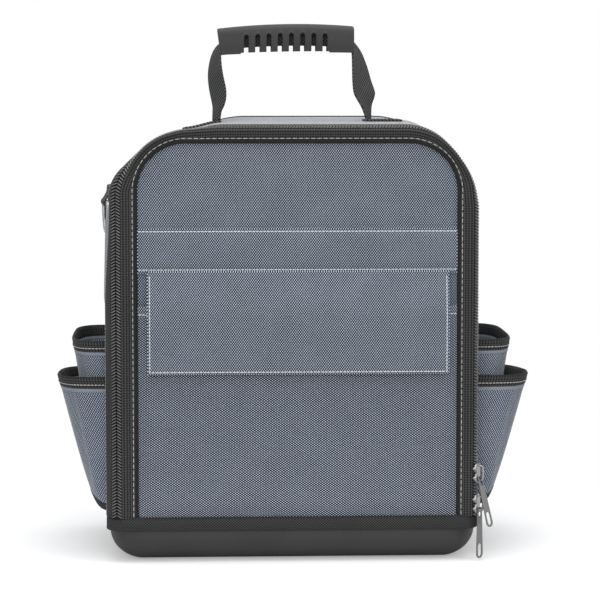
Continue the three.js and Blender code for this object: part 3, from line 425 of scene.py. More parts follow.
def grain_shape(sides=6):
    """Small rounded grain along x, one unit long, wide and high: three rings of points and two tips."""
    angle = np.arange(sides) / sides * TURN
    ring = spread(0.0, np.cos(angle) / 2, np.sin(angle) / 2)
    rings = [ring * [1, size, size] + [at, 0, 0] for at, size in ((-0.36, 0.72), (0, 1), (0.36, 0.72))]
    points = np.concatenate([[[-0.5, 0, 0]], *rings, [[0.5, 0, 0]]])
    first = 1 + np.arange(sides)
    sides_of = list(zip(first, np.roll(first, -1)))
    faces = [[0, b, a] for a, b in sides_of]
    for step in (0, sides):
        faces += [[a + step, b + step, b + step + sides, a + step + sides] for a, b in sides_of]
    faces += [[a + 2 * sides, b + 2 * sides, 3 * sides + 1] for a, b in sides_of]
    return points, faces


GRAIN_POINTS, GRAIN_FACES = grain_shape()


def grains_piece(name, frames, size, finish):
    """Copies of the grain: each frame gives places, the way each grain lies and the way it faces."""
    place, way, face = [np.concatenate(part) for part in zip(*frames)]
    way = unit(way)
    side = unit(np.cross(face, way))
    scaled = GRAIN_POINTS * size
    axes = np.stack([way, side, np.cross(way, side)], 1)
    points = place[:, None] + np.einsum("vk,nkc->nvc", scaled, axes)
    count = len(GRAIN_POINTS)
    faces = [[corner + n * count for corner in grain] for n in range(len(place)) for grain in GRAIN_FACES]
    places = np.broadcast_to(scaled[None, :, :2], (len(place), count, 2))
    return add_mesh(name, points, faces, places, finish)


def stitch_line(points, face, pitch):
    """Evenly spaced places on a line of points, with the line's way and the cloth's facing there."""
    points = np.asarray(points, float)
    face = np.broadcast_to(np.asarray(face, float), points.shape)
    walk = walked(points)
    count = max(int(round(walk[-1] / pitch)), 1)
    at = (np.arange(count) + 0.5) * walk[-1] / count

    def read(values, where):
        """Values between those at the line's points, in proportion to the way walked."""
        return np.stack([np.interp(where, walk, values[:, k]) for k in range(3)], -1)

    way = read(points, at + pitch / 4) - read(points, at - pitch / 4)
    return read(points, at), way, unit(read(face, at))


# Finishes
SPECULAR = "Specular IOR Level"
CLOTH_CLOUDS = 28  # noise scales, in repeats per metre
CLOTH_FUZZ = 900
TAPE_FUZZ = 700
COAT_CLOUDS = 18


def add_node(tree, kind, inputs, **settings):
    """New shader node: its settings, and its inputs set to values or linked from sockets."""
    node = tree.nodes.new(f"ShaderNode{kind}")
    for name, value in settings.items():
        setattr(node, name, value)
    for key, value in inputs.items():
        if isinstance(value, bpy.types.NodeSocket):
            tree.links.new(value, node.inputs[key])
        else:
            node.inputs[key].default_value = value
    return node


def sums(tree, operation, *values):
    """Math node on sockets or numbers."""
    return add_node(tree, "Math", dict(enumerate(values)), operation=operation).outputs[0]


def noise(tree, vector, scale, detail=3.0):
    """Cloudy pattern with a mean of a half."""
    inputs = {"Vector": vector, "Scale": scale, "Detail": detail, "Roughness": 0.55}
    return add_node(tree, "TexNoise", inputs).outputs["Fac"]


def start_finish(name, sockets):
    """New finish, with plain values on its shader's own sockets."""
    finish = bpy.data.materials.new(name)
    finish.use_nodes = True
    shader = finish.node_tree.nodes["Principled BSDF"]
    for socket, value in sockets.items():
        shader.inputs[socket].default_value = value
    return finish, finish.node_tree, shader


def end_finish(tree, shader, stops, tone, rough, gloss, relief, height, strength):
    """Links a finish's patterns to its shader.

    Its tone picks the colour on a ramp of (place, colour) stops, its gloss pattern the roughness
    between two levels, and its height is a relief in mm.
    """
    ramp = add_node(tree, "ValToRGB", {"Fac": tone})
    while len(ramp.color_ramp.elements) < len(stops):
        ramp.color_ramp.elements.new(0.5)
    for element, (place, colour) in zip(ramp.color_ramp.elements, stops):
        element.position = place
        element.color = (*colour, 1)
    bump = add_node(tree, "Bump", {"Height": height, "Distance": relief * MM, "Strength": strength})
    low, high = rough
    roughness = sums(tree, "MULTIPLY_ADD", gloss, high - low, low)
    tree.links.new(ramp.outputs["Color"], shader.inputs["Base Color"])
    tree.links.new(roughness, shader.inputs["Roughness"])
    tree.links.new(bump.outputs["Normal"], shader.inputs["Normal"])


def surface_turns(tree, pitch):
    """The piece's own surface places, and angles that turn once in each pitch across and along it."""
    place = add_node(tree, "TexCoord", {}).outputs["UV"]
    split = add_node(tree, "SeparateXYZ", {"Vector": place})
    across, along = pitch
    u_turn = sums(tree, "MULTIPLY", split.outputs["X"], TURN / (across * MM))
    v_turn = sums(tree, "MULTIPLY", split.outputs["Y"], TURN / (along * MM))
    return place, u_turn, v_turn


def weave_finish(name, stops, pitch, cloudy, relief, roughness, lean=0.5, **sockets):
    """Woven cloth: two slanting waves added, the rising one with the share lean, and slow and fine noise."""
    finish, tree, shader = start_finish(name, sockets)
    place, u_turn, v_turn = surface_turns(tree, pitch)
    rising = sums(tree, "SINE", sums(tree, "SUBTRACT", u_turn, v_turn))
    falling = sums(tree, "SINE", sums(tree, "ADD", u_turn, v_turn))
    threads = sums(tree, "MULTIPLY_ADD", rising, lean / 2, 0.5)
    threads = sums(tree, "MULTIPLY_ADD", falling, (1 - lean) / 2, threads)
    tone = sums(tree, "MULTIPLY", threads, 1 - 2 * cloudy)
    for cloud in (noise(tree, place, CLOTH_CLOUDS), noise(tree, place, CLOTH_FUZZ, detail=1.0)):
        tone = sums(tree, "MULTIPLY_ADD", cloud, cloudy, tone)
    rough = (roughness - 0.08, roughness + 0.06)
    end_finish(tree, shader, stops, tone, rough, gloss=threads, relief=relief, height=threads, strength=0.7)
    return finish


def rib_finish(name, stops, pitch, relief, roughness, **sockets):
    """Ribbed tape: strong ribs one way, finer ones the other way, with fine noise."""
    finish, tree, shader = start_finish(name, sockets)
    place, u_turn, v_turn = surface_turns(tree, pitch)
    rib = sums(tree, "MULTIPLY_ADD", sums(tree, "SINE", u_turn), 0.3, 0.5)
    threads = sums(tree, "MULTIPLY_ADD", sums(tree, "SINE", v_turn), 0.2, rib)
    fine = noise(tree, place, TAPE_FUZZ, detail=2.0)
    tone = sums(tree, "MULTIPLY_ADD", fine, 0.35, sums(tree, "MULTIPLY", threads, 0.65))
    rough = (roughness - 0.1, roughness + 0.1)
    end_finish(tree, shader, stops, tone, rough, gloss=fine, relief=relief, height=threads, strength=0.6)
    return finish


def grain_finish(name, stops, scale, relief, rough, **sockets):
    """Moulded or coated surface: fine grain for the relief, slow clouds for tone and gloss."""
    finish, tree, shader = start_finish(name, sockets)
    place = add_node(tree, "TexCoord", {}).outputs["Object"]
    grain = noise(tree, place, scale, detail=2.0)
    slow = noise(tree, place, COAT_CLOUDS)
    tone = sums(tree, "MULTIPLY_ADD", grain, 0.4, sums(tree, "MULTIPLY", slow, 0.6))
    end_finish(tree, shader, stops, tone, rough, gloss=slow, relief=relief, height=grain, strength=0.5)
    return finish


def tones(dark, light, place=0.2):
    """Two stops of a ramp, equally far from its ends."""
    return [(place, dark), (1 - place, light)]


def greys(dark, light):
    """Two grey stops of a ramp."""
    return tones((dark,) * 3, (light,) * 3, 0.25)


DULL = {SPECULAR: 0.2}
CLOTH_STOPS = [(0.41, (0.002, 0.004, 0.008)), (0.556, (0.045, 0.057, 0.078)), (0.70, (0.60, 0.68, 0.80))]
LOWER_STOPS = [(0.50, (0.001, 0.002, 0.005)), (0.612, (0.022, 0.029, 0.042)), (0.735, (0.66, 0.74, 0.88))]
SIDE_STOPS = [(0.39, (0.002, 0.004, 0.009)), (0.535, (0.045, 0.057, 0.080)), (0.685, (0.60, 0.68, 0.82))]
# Cloth folded under the side pockets' rims, paler than the cloth: a painted highlight on the fold
FOLD_HIGHLIGHT_STOPS = tones((0.16, 0.18, 0.21), (0.42, 0.46, 0.52))
LINING_STOPS = tones((0.012, 0.013, 0.015), (0.05, 0.052, 0.058))
PALE_STOPS = tones((0.46, 0.45, 0.43), (0.86, 0.84, 0.80))
WHITE_STOPS = tones((0.72, 0.74, 0.76), (0.95, 0.96, 0.97))
CLOTH_PITCH = (2.02, 2.73)  # mm between the weave's repeats, across and along


def cloth_finish(name, stops, cloudy=0.08, lean=0.55, sheen=0.35, pitch=CLOTH_PITCH, relief=0.3):
    """Weave of the bag's cloth, with its sheen."""
    soft = {"Sheen Weight": sheen, "Sheen Roughness": 0.45, **DULL}
    return weave_finish(name, stops, pitch, cloudy, relief, roughness=0.75, lean=lean, **soft)


def dark_weave(name, stops, pitch, cloudy, relief, roughness=0.8):
    """Weave of black webbing or lining."""
    return weave_finish(name, stops, pitch, cloudy, relief, roughness, **DULL)


def thread_finish(name, stops):
    """Twisted sewing thread."""
    return rib_finish(name, stops, pitch=(0.6, 0.5), relief=0.1, roughness=0.7)


def plate_finish(name, stops, rough):
    """Plated metal."""
    return grain_finish(name, stops, scale=700, relief=0.02, rough=rough, Metallic=1.0)


cloth = cloth_finish("blue_grey_weave", CLOTH_STOPS)
lower_cloth = cloth_finish("lower_blue_grey_weave", LOWER_STOPS, cloudy=0.05, lean=0.57)
side_cloth = cloth_finish("side_blue_grey_weave", SIDE_STOPS)
top_cloth = cloth_finish("top_blue_grey_weave", CLOTH_STOPS, sheen=1.0)
# Real folded cloth edge whose paler tone is a painted highlight
fold_highlight = cloth_finish("folded_edge_painted_highlight", FOLD_HIGHLIGHT_STOPS, cloudy=0.15, lean=0.5, pitch=(1.1, 1.1), relief=0.1)
webbing = dark_weave("black_webbing", greys(0.002, 0.13), pitch=(3.2, 2.9), cloudy=0.06, relief=0.35)
rim_weave = dark_weave("rim_webbing_weave", greys(0.002, 0.072), pitch=(2.2, 2.4), cloudy=0.08, relief=0.3)
lining = dark_weave("black_lining", LINING_STOPS, pitch=(0.9, 0.9), cloudy=0.15, relief=0.08, roughness=0.7)
tape = rib_finish("black_tape", greys(0.004, 0.082), pitch=(2.4, 2.1), relief=0.18, roughness=0.8, **DULL)
binding = rib_finish(
    "navy_black_binding", greys(0.006, 0.026), pitch=(0.9, 0.9), relief=0.1, roughness=0.75, **DULL
)
thread = thread_finish("off_white_thread", PALE_STOPS)
white_thread = thread_finish("white_thread", WHITE_STOPS)
dark_thread = thread_finish("black_thread", greys(0.008, 0.03))
moulding = grain_finish(
    "charcoal_moulding", greys(0.032, 0.05), scale=900, relief=0.06, rough=(0.42, 0.55), **{SPECULAR: 0.35}
)
rubber = grain_finish(
    "charcoal_rubber", greys(0.045, 0.066), scale=1100, relief=0.05, rough=(0.55, 0.65), **DULL
)
coil = grain_finish("black_coil", greys(0.16, 0.30), scale=1500, relief=0.02, rough=(0.24, 0.34))
board = grain_finish("stiff_board", greys(0.02, 0.035), scale=500, relief=0.05, rough=(0.6, 0.75))
fastener = grain_finish(
    "hook_and_loop", greys(0.008, 0.05), scale=1800, relief=0.4, rough=(0.85, 0.95), **{"Sheen Weight": 0.3}
)
nickel = plate_finish("nickel_plate", greys(0.25, 0.36), rough=(0.26, 0.38))
dull_nickel = plate_finish("dull_nickel_plate", greys(0.17, 0.24), rough=(0.34, 0.46))

for node, finish in (
    ("base_board", board), ("flap_board", board),
    ("loop_strip", fastener), ("hook_strip", fastener),
):
    frame["nodes"][node].data.materials.clear()
    frame["nodes"][node].data.materials.append(finish)


# Pieces on their bodies
def place_on(piece, body, slot, *nodes):
    """Piece rides on a body and stands for the solids named; the slot is not used."""
    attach(piece, body)
    if nodes:
        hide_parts(*nodes)
    return piece


def add_sheet(name, body, slot, points, thickness, finish, *nodes, places=None):
    """Sheet placed on a body."""
    return place_on(sheet_piece(name, points, thickness, finish, places), body, slot, *nodes)


def add_tube(name, body, slot, rings, finish, *nodes, closed=False, sharp=50):
    """Skin round rings, placed on a body."""
    return place_on(tube_piece(name, rings, finish, closed, sharp), body, slot, *nodes)


# Kinds of stitches: length, width and height of one stitch, pitch and thread
SEAM = ((2.8, 0.8, 0.6), 3.1, thread)
BLACK_SEAM = ((2.8, 0.8, 0.6), 3.1, dark_thread)
CLOTH_SEAM = ((2.9, 1.0, 0.7), 3.1, white_thread)
TAPE_SEAM = ((4.5, 0.66, 0.6), 5.2, thread)
RIDGE_SEAM = ((1.9, 0.8, 0.5), 2.9, dark_thread)


def sew(name, body, slot, seam, *rows):
    """Rows of one kind of stitches: each row is a line of points and the cloth's facing along it."""
    size, pitch, finish = seam
    frames = [stitch_line(line, face, pitch) for line, face in rows]
    return place_on(grains_piece(name, frames, size, finish), body, slot)


# Base tub and the webbing round its rim
TUB_WALL = 3
TUB_CORNER = 28
TUB_EDGE = (30, 26)  # width and height of the round bottom edge
TUB_BULGE = (2.4, 0.8)  # past the solid's sides, left and right
STRIP_BULGE = (2.8, 0)
STRIP_CORNER = 14
STRIP_STITCH_UP = 2.2  # above the webbing's lower edge


def build_base():
    """Tub: rounded rings that follow a quarter oval up from the floor, over a round lip and down inside.

    The webbing's section goes out from the tub and back to it, in shares of its width and height.
    """
    _, high = corners("base_tray")
    wide, tall = TUB_EDGE
    angle = np.linspace(0, math.pi / 2, 14)
    oval = pair(wide * (1 - np.sin(angle)), tall * (1 - np.cos(angle)))
    lip = np.array([(0, -1.1), (0.25, -0.35), (0.9, 0)])
    lip = np.concatenate([lip, lip[::-1] * [-1, 1] + [TUB_WALL, 0]])
    profile = np.concatenate([oval, lip + [0, high[2]], oval[::-1] + TUB_WALL])
    rings = np.stack([
        rounded_ring(high[0] - inset, high[1] - inset, max(TUB_CORNER - inset, 1), z) for inset, z in profile
    ])
    add_tube("base_tub", "bag", "moulded_base", widened(rings, *TUB_BULGE), moulding, "base_tray")

    low, top = corners("rim_tape")
    outer = rounded_ring(top[0], top[1], STRIP_CORNER, 0, 12)
    face = unit(rounded_ring(top[0] + 1, top[1] + 1, STRIP_CORNER + 1, 0, 12) - outer)
    outer = widened(outer, *STRIP_BULGE)
    inner = widened(rounded_ring(high[0] + FIT, high[1] + FIT, TUB_CORNER + FIT, 0, 12), *TUB_BULGE)
    share = np.array([0, 0.75, 1, 1.02, 1, 0.75, 0])
    level = np.array([0, 0, 0.09, 0.5, 0.91, 1, 1])
    points = inner[:, None] + (outer - inner)[:, None] * share[:, None]
    points[..., 2] = low[2] + (top[2] - low[2]) * level
    add_tube("rim_webbing", "bag", "webbing", points, rim_weave, "rim_tape", closed=True)
    loop = np.concatenate([outer, outer[:1]]) + [0, 0, low[2] + STRIP_STITCH_UP]
    sew("rim_stitches", "bag", "webbing", RIDGE_SEAM, (loop, np.concatenate([face, face[:1]])))


# Side and top walls
GUSSET_SKIN = 2.4
LINING_SKIN = 2.2
GUSSET_COLUMNS = 45
SWELL_START_Y = -74
SWELL_DEPTH = 66
SWELL_LOW_Z = (188, 225)
SWELL_HIGH_Z = (285, 318)


def gusset_grid(run, offset, bulge):
    """Wall behind the zip: the edge moved out to the gusset's face, carried back in depth and let sink.

    It swells by a squared half sine in depth, between two smooth steps in height, and the left wall's
    slack fades out half way back.
    """
    place, _, roll = edge(run)
    depth = np.linspace(GUSSET_FRONT_Y, GUSSET_BACK_Y, GUSSET_COLUMNS)
    back = np.linspace(0, 1, GUSSET_COLUMNS)
    swell = bulge * np.sin(math.pi * np.clip((depth - SWELL_START_Y) / SWELL_DEPTH, 0, 1)) ** 2
    swell = swell * (fade(place[:, 1], *SWELL_LOW_Z) * (1 - fade(place[:, 1], *SWELL_HIGH_Z)))[:, None]
    swell = swell + left_slack(run)[:, None] * (1 - fade(depth, GUSSET_FRONT_Y, 0))
    face = body_offset(roll)[:, None] * (1 - back) + rear_offset(run)[:, None] * back + offset + swell
    return sink(off_edge(run, pair(face, depth)))


def build_gussets():
    """Three cloth walls, the side ones swelling near their fronts, and the lining inside them."""
    for name, start, end, bulge, finish in (
        ("left", 0, SIDE_RUN - FIT, 5.5, cloth),
        ("top", SIDE_RUN, EDGE_RUN - SIDE_RUN, 0, top_cloth),
        ("right", EDGE_RUN - SIDE_RUN + FIT, EDGE_RUN, 3, cloth),
    ):
        points = gusset_grid(runs(start, end), -GUSSET_SKIN / 2, bulge)
        add_sheet(f"{name}_gusset_cloth", "bag", "cloth", points, GUSSET_SKIN, finish, f"{name}_gusset")
    points = gusset_grid(runs(), -GUSSET_SKIN - FIT / 2 - LINING_SKIN / 2, 0)
    add_sheet("gusset_lining", "bag", "lining", points, LINING_SKIN, lining)


# Back wall and flap panel
SIDE_STEP = 8  # run between a panel's rows, along its sides and round its corners
ARC_STEP = 5


def arch_sheet(name, node, body, slot, finish, inset, puff=0.0, behind=False):
    """Upright panel with round top corners, in from the turned edge, or from the gusset's face behind.

    Rows run straight from the left edge to the same place on the right. The middle swells by puff,
    the root of a half sine each way. A panel behind sinks with the top.
    """
    arc = runs(SIDE_RUN, SIDE_RUN + ARC_RUN, ARC_STEP)
    run = np.concatenate([runs(0, SIDE_RUN, SIDE_STEP), arc[1:]])
    ends = []
    for at in (run, EDGE_RUN - run):
        place, out, roll = edge(at, ROLL)
        ends.append(place - (inset - body_offset(roll) * behind)[:, None] * out)
    share = np.linspace(0, 1, 61)
    flat = ends[0][:, None] * (1 - share[:, None]) + ends[1][:, None] * share[:, None]
    swell = np.sin(math.pi * np.linspace(0, 1, len(run)))[:, None] * np.sin(math.pi * share)
    low, high = corners(node)
    points = spread(flat[..., 0], (low[1] + high[1]) / 2 + puff * np.sqrt(np.abs(swell)), flat[..., 1])
    points = sink(points) if behind else points
    add_sheet(name, body, slot, points, high[1] - low[1], finish, node, places=flat)


def edge_strip(name, body, section, thickness, finish, *nodes, run=None):
    """Strip carried along the turned edge: its section is given as rows of (outward, y) points."""
    points = sink(off_edge(runs() if run is None else run, section))
    add_sheet(name, body, "webbing", points, thickness, finish, *nodes)


def stack_sections(*points):
    """Section rows from their corner points, with softened corners."""
    return soften(np.stack(np.broadcast_arrays(*points), -2))


REAR_INSET = 5.3  # lining and stiffener, in from the walls' faces
REAR_PUFF = 2.0
BINDING_THICK = 0.8
BINDING_WIDTH = 8  # on each side of the rear edge
BINDING_STITCH = 6.2  # in from that edge


def build_rear():
    """Back wall with its lining and stiffener, and tape bent round its edge with stitches on both sides."""
    arch_sheet("rear_cloth", "rear_panel", "bag", "cloth", cloth, 0, REAR_PUFF, behind=True)
    arch_sheet("rear_lining_cloth", "rear_lining", "bag", "lining", lining, REAR_INSET, behind=True)
    arch_sheet("rear_stiffener", "rear_board", "bag", "lining", board, REAR_INSET, behind=True)
    run = runs()
    half = BINDING_THICK / 2
    face = rear_offset(run) + half
    back = BACK_Y + FIT + half
    side_end, rear_end = pair(face, back - BINDING_WIDTH), pair(face - BINDING_WIDTH, back)
    section = stack_sections(side_end, pair(face, back), rear_end)
    edge_strip("rear_edge_binding", "bag", section, BINDING_THICK, tape, "rear_binding")
    side = sink(edge_line(run, face + half, back - BINDING_STITCH))
    rear = sink(edge_line(run, face - BINDING_STITCH, back + half))
    sew("rear_stitches", "bag", "webbing", TAPE_SEAM, (side, edge_ways(run)), (rear, BACKWARD))


TOOL_POCKETS = 4
TOOL_POCKET_SKIN = 1.6
TOOL_POCKET_IN = 1  # the cloth's middle, in from its solid
TOOL_TAPE_OUT = 1.4  # the tape's middle, in front of the cloth's
TOOL_TAPE_SKIN = 1.0
TOOL_TAPE_LEVELS = np.array([-9.0, -4, 1])  # above the pockets' top edge
TOOL_STITCH = (0, 0.6, 6.5)  # forward from the tape's middle, and down from that edge


def build_tool_pockets():
    """Row of tool pockets inside: across each the cloth stands out in a hump, and it rises from the bottom.

    The hump is one less the sixth power of the distance from the pocket's middle, to the power 0.6.
    """
    low, high = corners("inner_pocket_row")
    height = np.concatenate([np.linspace(0, 10, 7), np.linspace(14, high[2] - low[2], 16)])
    across = np.linspace(0, 1, 121)
    share = (across * TOOL_POCKETS) % 1
    hump = (1 - np.abs(2 * share - 1) ** 6) ** 0.6
    rise = fade(height, 0, 9) ** 0.6
    wide, deep, _ = high - low - 2 * TOOL_POCKET_IN
    depth = high[1] - TOOL_POCKET_IN - deep * rise[:, None] * hump
    points = spread(low[0] + TOOL_POCKET_IN + wide * across, depth, (low[2] + height)[:, None])
    add_sheet(
        "tool_pocket_cloth", "bag", "lining", points, TOOL_POCKET_SKIN, lining, "inner_pocket_row"
    )
    top = points[-1] - [0, TOOL_TAPE_OUT, 0]
    lip = top + TOOL_TAPE_LEVELS[:, None, None] * UPRIGHT
    add_sheet("tool_pocket_tape", "bag", "webbing", lip, TOOL_TAPE_SKIN, tape)
    sew("tool_pocket_stitches", "bag", "lining", SEAM, (top - TOOL_STITCH, FORWARD))


# Zip
COIL_TURN = (5.0, 1.0, 1.9)  # length, width and height of one turn
COIL_SLANT = math.radians(30)
COIL_START = 1.5  # run to the first turn
# Dark strip under the coil turns: painted shade in the gaps between them
COIL_SHADE_UP = 0.85
COIL_SHADE_IN = 0.2  # in from the teeth's edges
COIL_SHADE_THICK = 0.4
LAP_STITCH = 1.6  # in from the lap's edge
LAP_FLARE = 0.3  # share of the left wall's slack by which the lap's edge stands out further
PARKED_LEG = 0.3  # width of the flap's band beside the parked sliders
FREE_RISE = 8  # height over which it widens above them
TAPE_BOW = 0.4  # of the flap's tape, half way across
EDGE_ROUND = (1.5, 0.1)  # start of the turned edge's bend, in from it and in front of it
PIPING_IN = 11.3
PIPING_UP = 0.1
PIPING_HALF = (1.5, 0.55)


def build_coil(name, body, end, shade_end, start, slant):
    """One row of coil turns across the band, their meeting ends slanted along the run, on a strip of painted
    shade.
    """
    run = np.arange(COIL_START, end, TOOTH_PITCH)
    roll = edge(run)[2]
    angle = edge_angle(run)
    out = edge_ways(run)
    travel = spread(np.sin(angle), 0, -np.cos(angle))
    band = out * np.cos(roll)[:, None] - FORWARD * np.sin(roll)[:, None]
    up = out * np.sin(roll)[:, None] + FORWARD * np.cos(roll)[:, None]
    middle = off_edge(run, on_band(roll, start + TEETH_WIDTH / 2, TEETH_UP)[:, None])[:, 0]
    frames = (middle, band * math.cos(slant) + travel * math.sin(slant), up)
    turns = grains_piece(f"{name}_coil", [frames], COIL_TURN, coil)
    place_on(turns, body, "zip_coil", f"{name}_zip_teeth")
    # Dark strip under the turns, darker than the tape: painted shade between the turns
    run = runs(0, shade_end)
    roll = edge(run)[2]
    sides = (start + COIL_SHADE_IN, start + TEETH_WIDTH - COIL_SHADE_IN)
    section = np.stack([on_band(roll, along, COIL_SHADE_UP) for along in sides], -2)
    edge_strip(f"{name}_coil_bed", body, section, COIL_SHADE_THICK, binding, run=run)


def build_body_zip():
    """Body's half of the zip: tape from the teeth round to its sewn lap, and one row of coil turns."""
    run = runs()
    roll = edge(run)[2]
    slack = left_slack(run)
    lap = body_offset(roll) + FIT + TAPE_THICK / 2 + slack
    section = stack_sections(
        on_band(roll, BODY_TEETH_START, 0), on_band(roll, ZIP_BAND, 0),
        pair(lap, LAP_START_Y), pair(lap + LAP_FLARE * slack, LAP_END_Y),
    )
    edge_strip("body_tape", "bag", section, TAPE_THICK, tape, "body_zip_tape")
    flare = LAP_FLARE * (LAP_WIDTH - LAP_STITCH) / LAP_WIDTH
    line = edge_line(run, lap + flare * slack + TAPE_THICK / 2, LAP_END_Y - LAP_STITCH)
    sew("body_tape_stitches", "bag", "webbing", SEAM, (line, edge_ways(run)))
    build_coil("body", "bag", EDGE_RUN - 1, EDGE_RUN, BODY_TEETH_START, -COIL_SLANT)


def build_flap_zip():
    """Flap's half of the zip: tape on its face, turned edge, coil turns, piping and both rows of stitches.

    Beside the parked sliders the band past the turned edge is left narrow.
    """
    run = runs()
    place, out, roll = edge(run)
    on_right = out[:, 0] > 0.99
    free = np.where(on_right, fade(place[:, 1], SLIDER_FREE_Z, SLIDER_FREE_Z + FREE_RISE), 1.0)
    leg = PARKED_LEG + (FLAP_TEETH_END - PARKED_LEG) * free
    bend_in, bend_up = EDGE_ROUND
    section = stack_sections(
        pair(-TAPE_WIDTH, FRONT_Y + TAPE_DROP), pair(-TAPE_WIDTH / 2, FRONT_Y + TAPE_DROP / 2 - TAPE_BOW),
        pair(-bend_in, FRONT_Y - bend_up), pair(0, FRONT_Y),
        on_band(roll, leg * 0.4, 0), on_band(roll, leg, 0),
    )
    edge_strip("flap_tape", "flap", section, TAPE_THICK, tape, "flap_zip_tape")
    turn = circle(8)
    wide, high = PIPING_HALF
    oval = on_tape(PIPING_IN, PIPING_UP) + pair(wide * np.cos(turn), high * np.sin(turn))
    add_tube("flap_piping", "flap", "webbing", off_edge(run, oval), binding)
    for name, seam, inward, lift in (
        ("flap_tape_stitches", TAPE_SEAM, 8.9, 0.45), ("flap_tape_ridge", RIDGE_SEAM, 4.4, 0.5),
    ):
        sew(name, "flap", "webbing", seam, (edge_line(run, *on_tape(inward, lift)), FORWARD))
    chain_end = EDGE_RUN - (SLIDER_FREE_Z - FLAP_BOTTOM)
    build_coil("flap", "flap", chain_end, chain_end - FREE_RISE, TEETH_EDGE, COIL_SLANT)


# Flap: cloth, lining, band and pocket
BAND_SKIN = 1.2
BAND_SEAT = 0.5  # in front of its solid's back
BAND_LEVELS = np.array([0, 0.02, 0.05, 0.08, 0.12, 0.25, 0.5, 0.75, 0.88, 0.92, 0.95, 0.98, 1])
BAND_PUFF = np.array([0.2, 0.9, 0.75, 0.35, 0.9, 1.2, 1.2, 1.2, 0.9, 0.35, 0.75, 0.9, 0.2])
BAND_SEAMS = (3, -4)  # levels that the stitches draw in
PATCH_SKIN = 1.4
PATCH_SEAT = 0.8
PATCH_SIDE = 11  # width over which the pocket rises from its side seams
PATCH_FOOT = (-2, 12)  # heights over which it rises from its bottom seam
PATCH_SWELL = 0.8  # power that fills out those rises
PATCH_LOW = 0.2  # its bottom edge, above the flap's
HEM_SKIN = 0.9
HEM_LINE = np.array([(0, -0.75, -9.0), (0, -0.9, -4.5), (0, -0.9, 0.2)])  # from the pocket's top edge
HEM_STITCH = (0, 0.5, 2.6)  # forward and down from the hem's middle


def build_flap():
    """Flap's cloth and lining, and the band sewn across it, which puffs between its seams."""
    arch_sheet("flap_cloth", "flap_panel", "flap", "cloth", cloth, PANEL_INSET)
    arch_sheet("flap_lining_cloth", "flap_lining", "flap", "lining", lining, PANEL_INSET)
    low, high = corners("pocket_band")
    seat = high[1] - BAND_SEAT
    tall = low[2] + (high[2] - low[2]) * BAND_LEVELS
    points = spread(np.linspace(low[0], high[0], 91), (seat - BAND_PUFF)[:, None], tall[:, None])
    places = points[..., [0, 2]]
    add_sheet("pocket_band_cloth", "flap", "cloth", points, BAND_SKIN, cloth, "pocket_band", places=places)
    lines = [spread(np.array([low[0], high[0]]), seat - BAND_SKIN, tall[level]) for level in BAND_SEAMS]
    sew("band_stitches", "flap", "cloth", CLOTH_SEAM, *[(line, FORWARD) for line in lines])


def build_front_pocket():
    """Patch pocket: rises in smooth steps from its side and bottom seams, with a sewn hem on its mouth."""
    low, high = corners("front_pocket")
    wide = np.linspace(low[0], high[0], 81)
    foot, rise_end = low[2] + np.array(PATCH_FOOT)
    bottom = FLAP_BOTTOM + PATCH_LOW
    tall = np.concatenate([np.linspace(bottom, rise_end, 8), np.linspace(rise_end + 6, high[2], 34)])
    from_side = np.minimum(wide - wide[0], wide[-1] - wide)
    across = fade(from_side, 0, PATCH_SIDE) ** PATCH_SWELL
    rise = across * fade(tall, foot, rise_end)[:, None] ** PATCH_SWELL
    reach = high[1] - low[1] - (PATCH_SEAT + PATCH_SKIN / 2)
    depth = high[1] - PATCH_SEAT - reach * rise
    points = spread(wide, depth, tall[:, None])
    turned = points[..., [2, 0]] * [1, -1]
    piece = sheet_piece("front_pocket_cloth", points, PATCH_SKIN, lower_cloth, turned)
    place_on(piece, "flap", "cloth", "front_pocket")
    hem = points[-1] + HEM_LINE[:, None]
    add_sheet("front_pocket_hem", "flap", "cloth", hem, HEM_SKIN, cloth, places=hem[..., [0, 2]])
    sew("hem_stitches", "flap", "cloth", CLOTH_SEAM, (hem[1] - HEM_STITCH, FORWARD))


# Fold at the foot of the flap: lines in y and in height above the flap's foot
FOLD_LINES = (
    ("fold_front", [(-94.2, -2.0), (-93.6, -0.6), (-92.4, 0.6), (-91.6, 1.8)]),
    ("fold_inside", [(-91, -2.2), (-84, -1.8), (-80.5, 0), (-80.8, 2.2), (-84.2, 3.4)]),
)
FOLD_SKIN = 0.7
FOLD_IN = 3  # in from the flap's sides


def build_fold():
    """Cloth that joins the flap's foot to the base's rim: one strip in front, one slack strip inside."""
    wide = np.linspace(FLAP_MIDDLE - FLAP_HALF + FOLD_IN, FLAP_MIDDLE + FLAP_HALF - FOLD_IN, 61)
    for name, line in FOLD_LINES:
        line = soften(np.array(line))
        points = spread(wide, line[:, :1], FLAP_BOTTOM + line[:, 1:])
        piece = sheet_piece(name, points, FOLD_SKIN, tape)
        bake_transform(piece)


# Pocket cover
COVER_SKIN = 1.5
COVER_SEAT = 0.8  # the cloth's middle, in from its solid's front and lower edge
COVER_TRIM = (1.6, 0.8)  # in from the solid's sides, left and right
RIPPLE_HIGH = 0.35
RIPPLE_WIDE = 37.0  # width for each radian of the ripple
RIPPLE_DOWN = (20, 84)  # below the hinge
COVER_STITCH_IN = 1.5
COVER_STITCH_UP = 1.05
COVER_STITCH_TOP = 3  # below the top edge


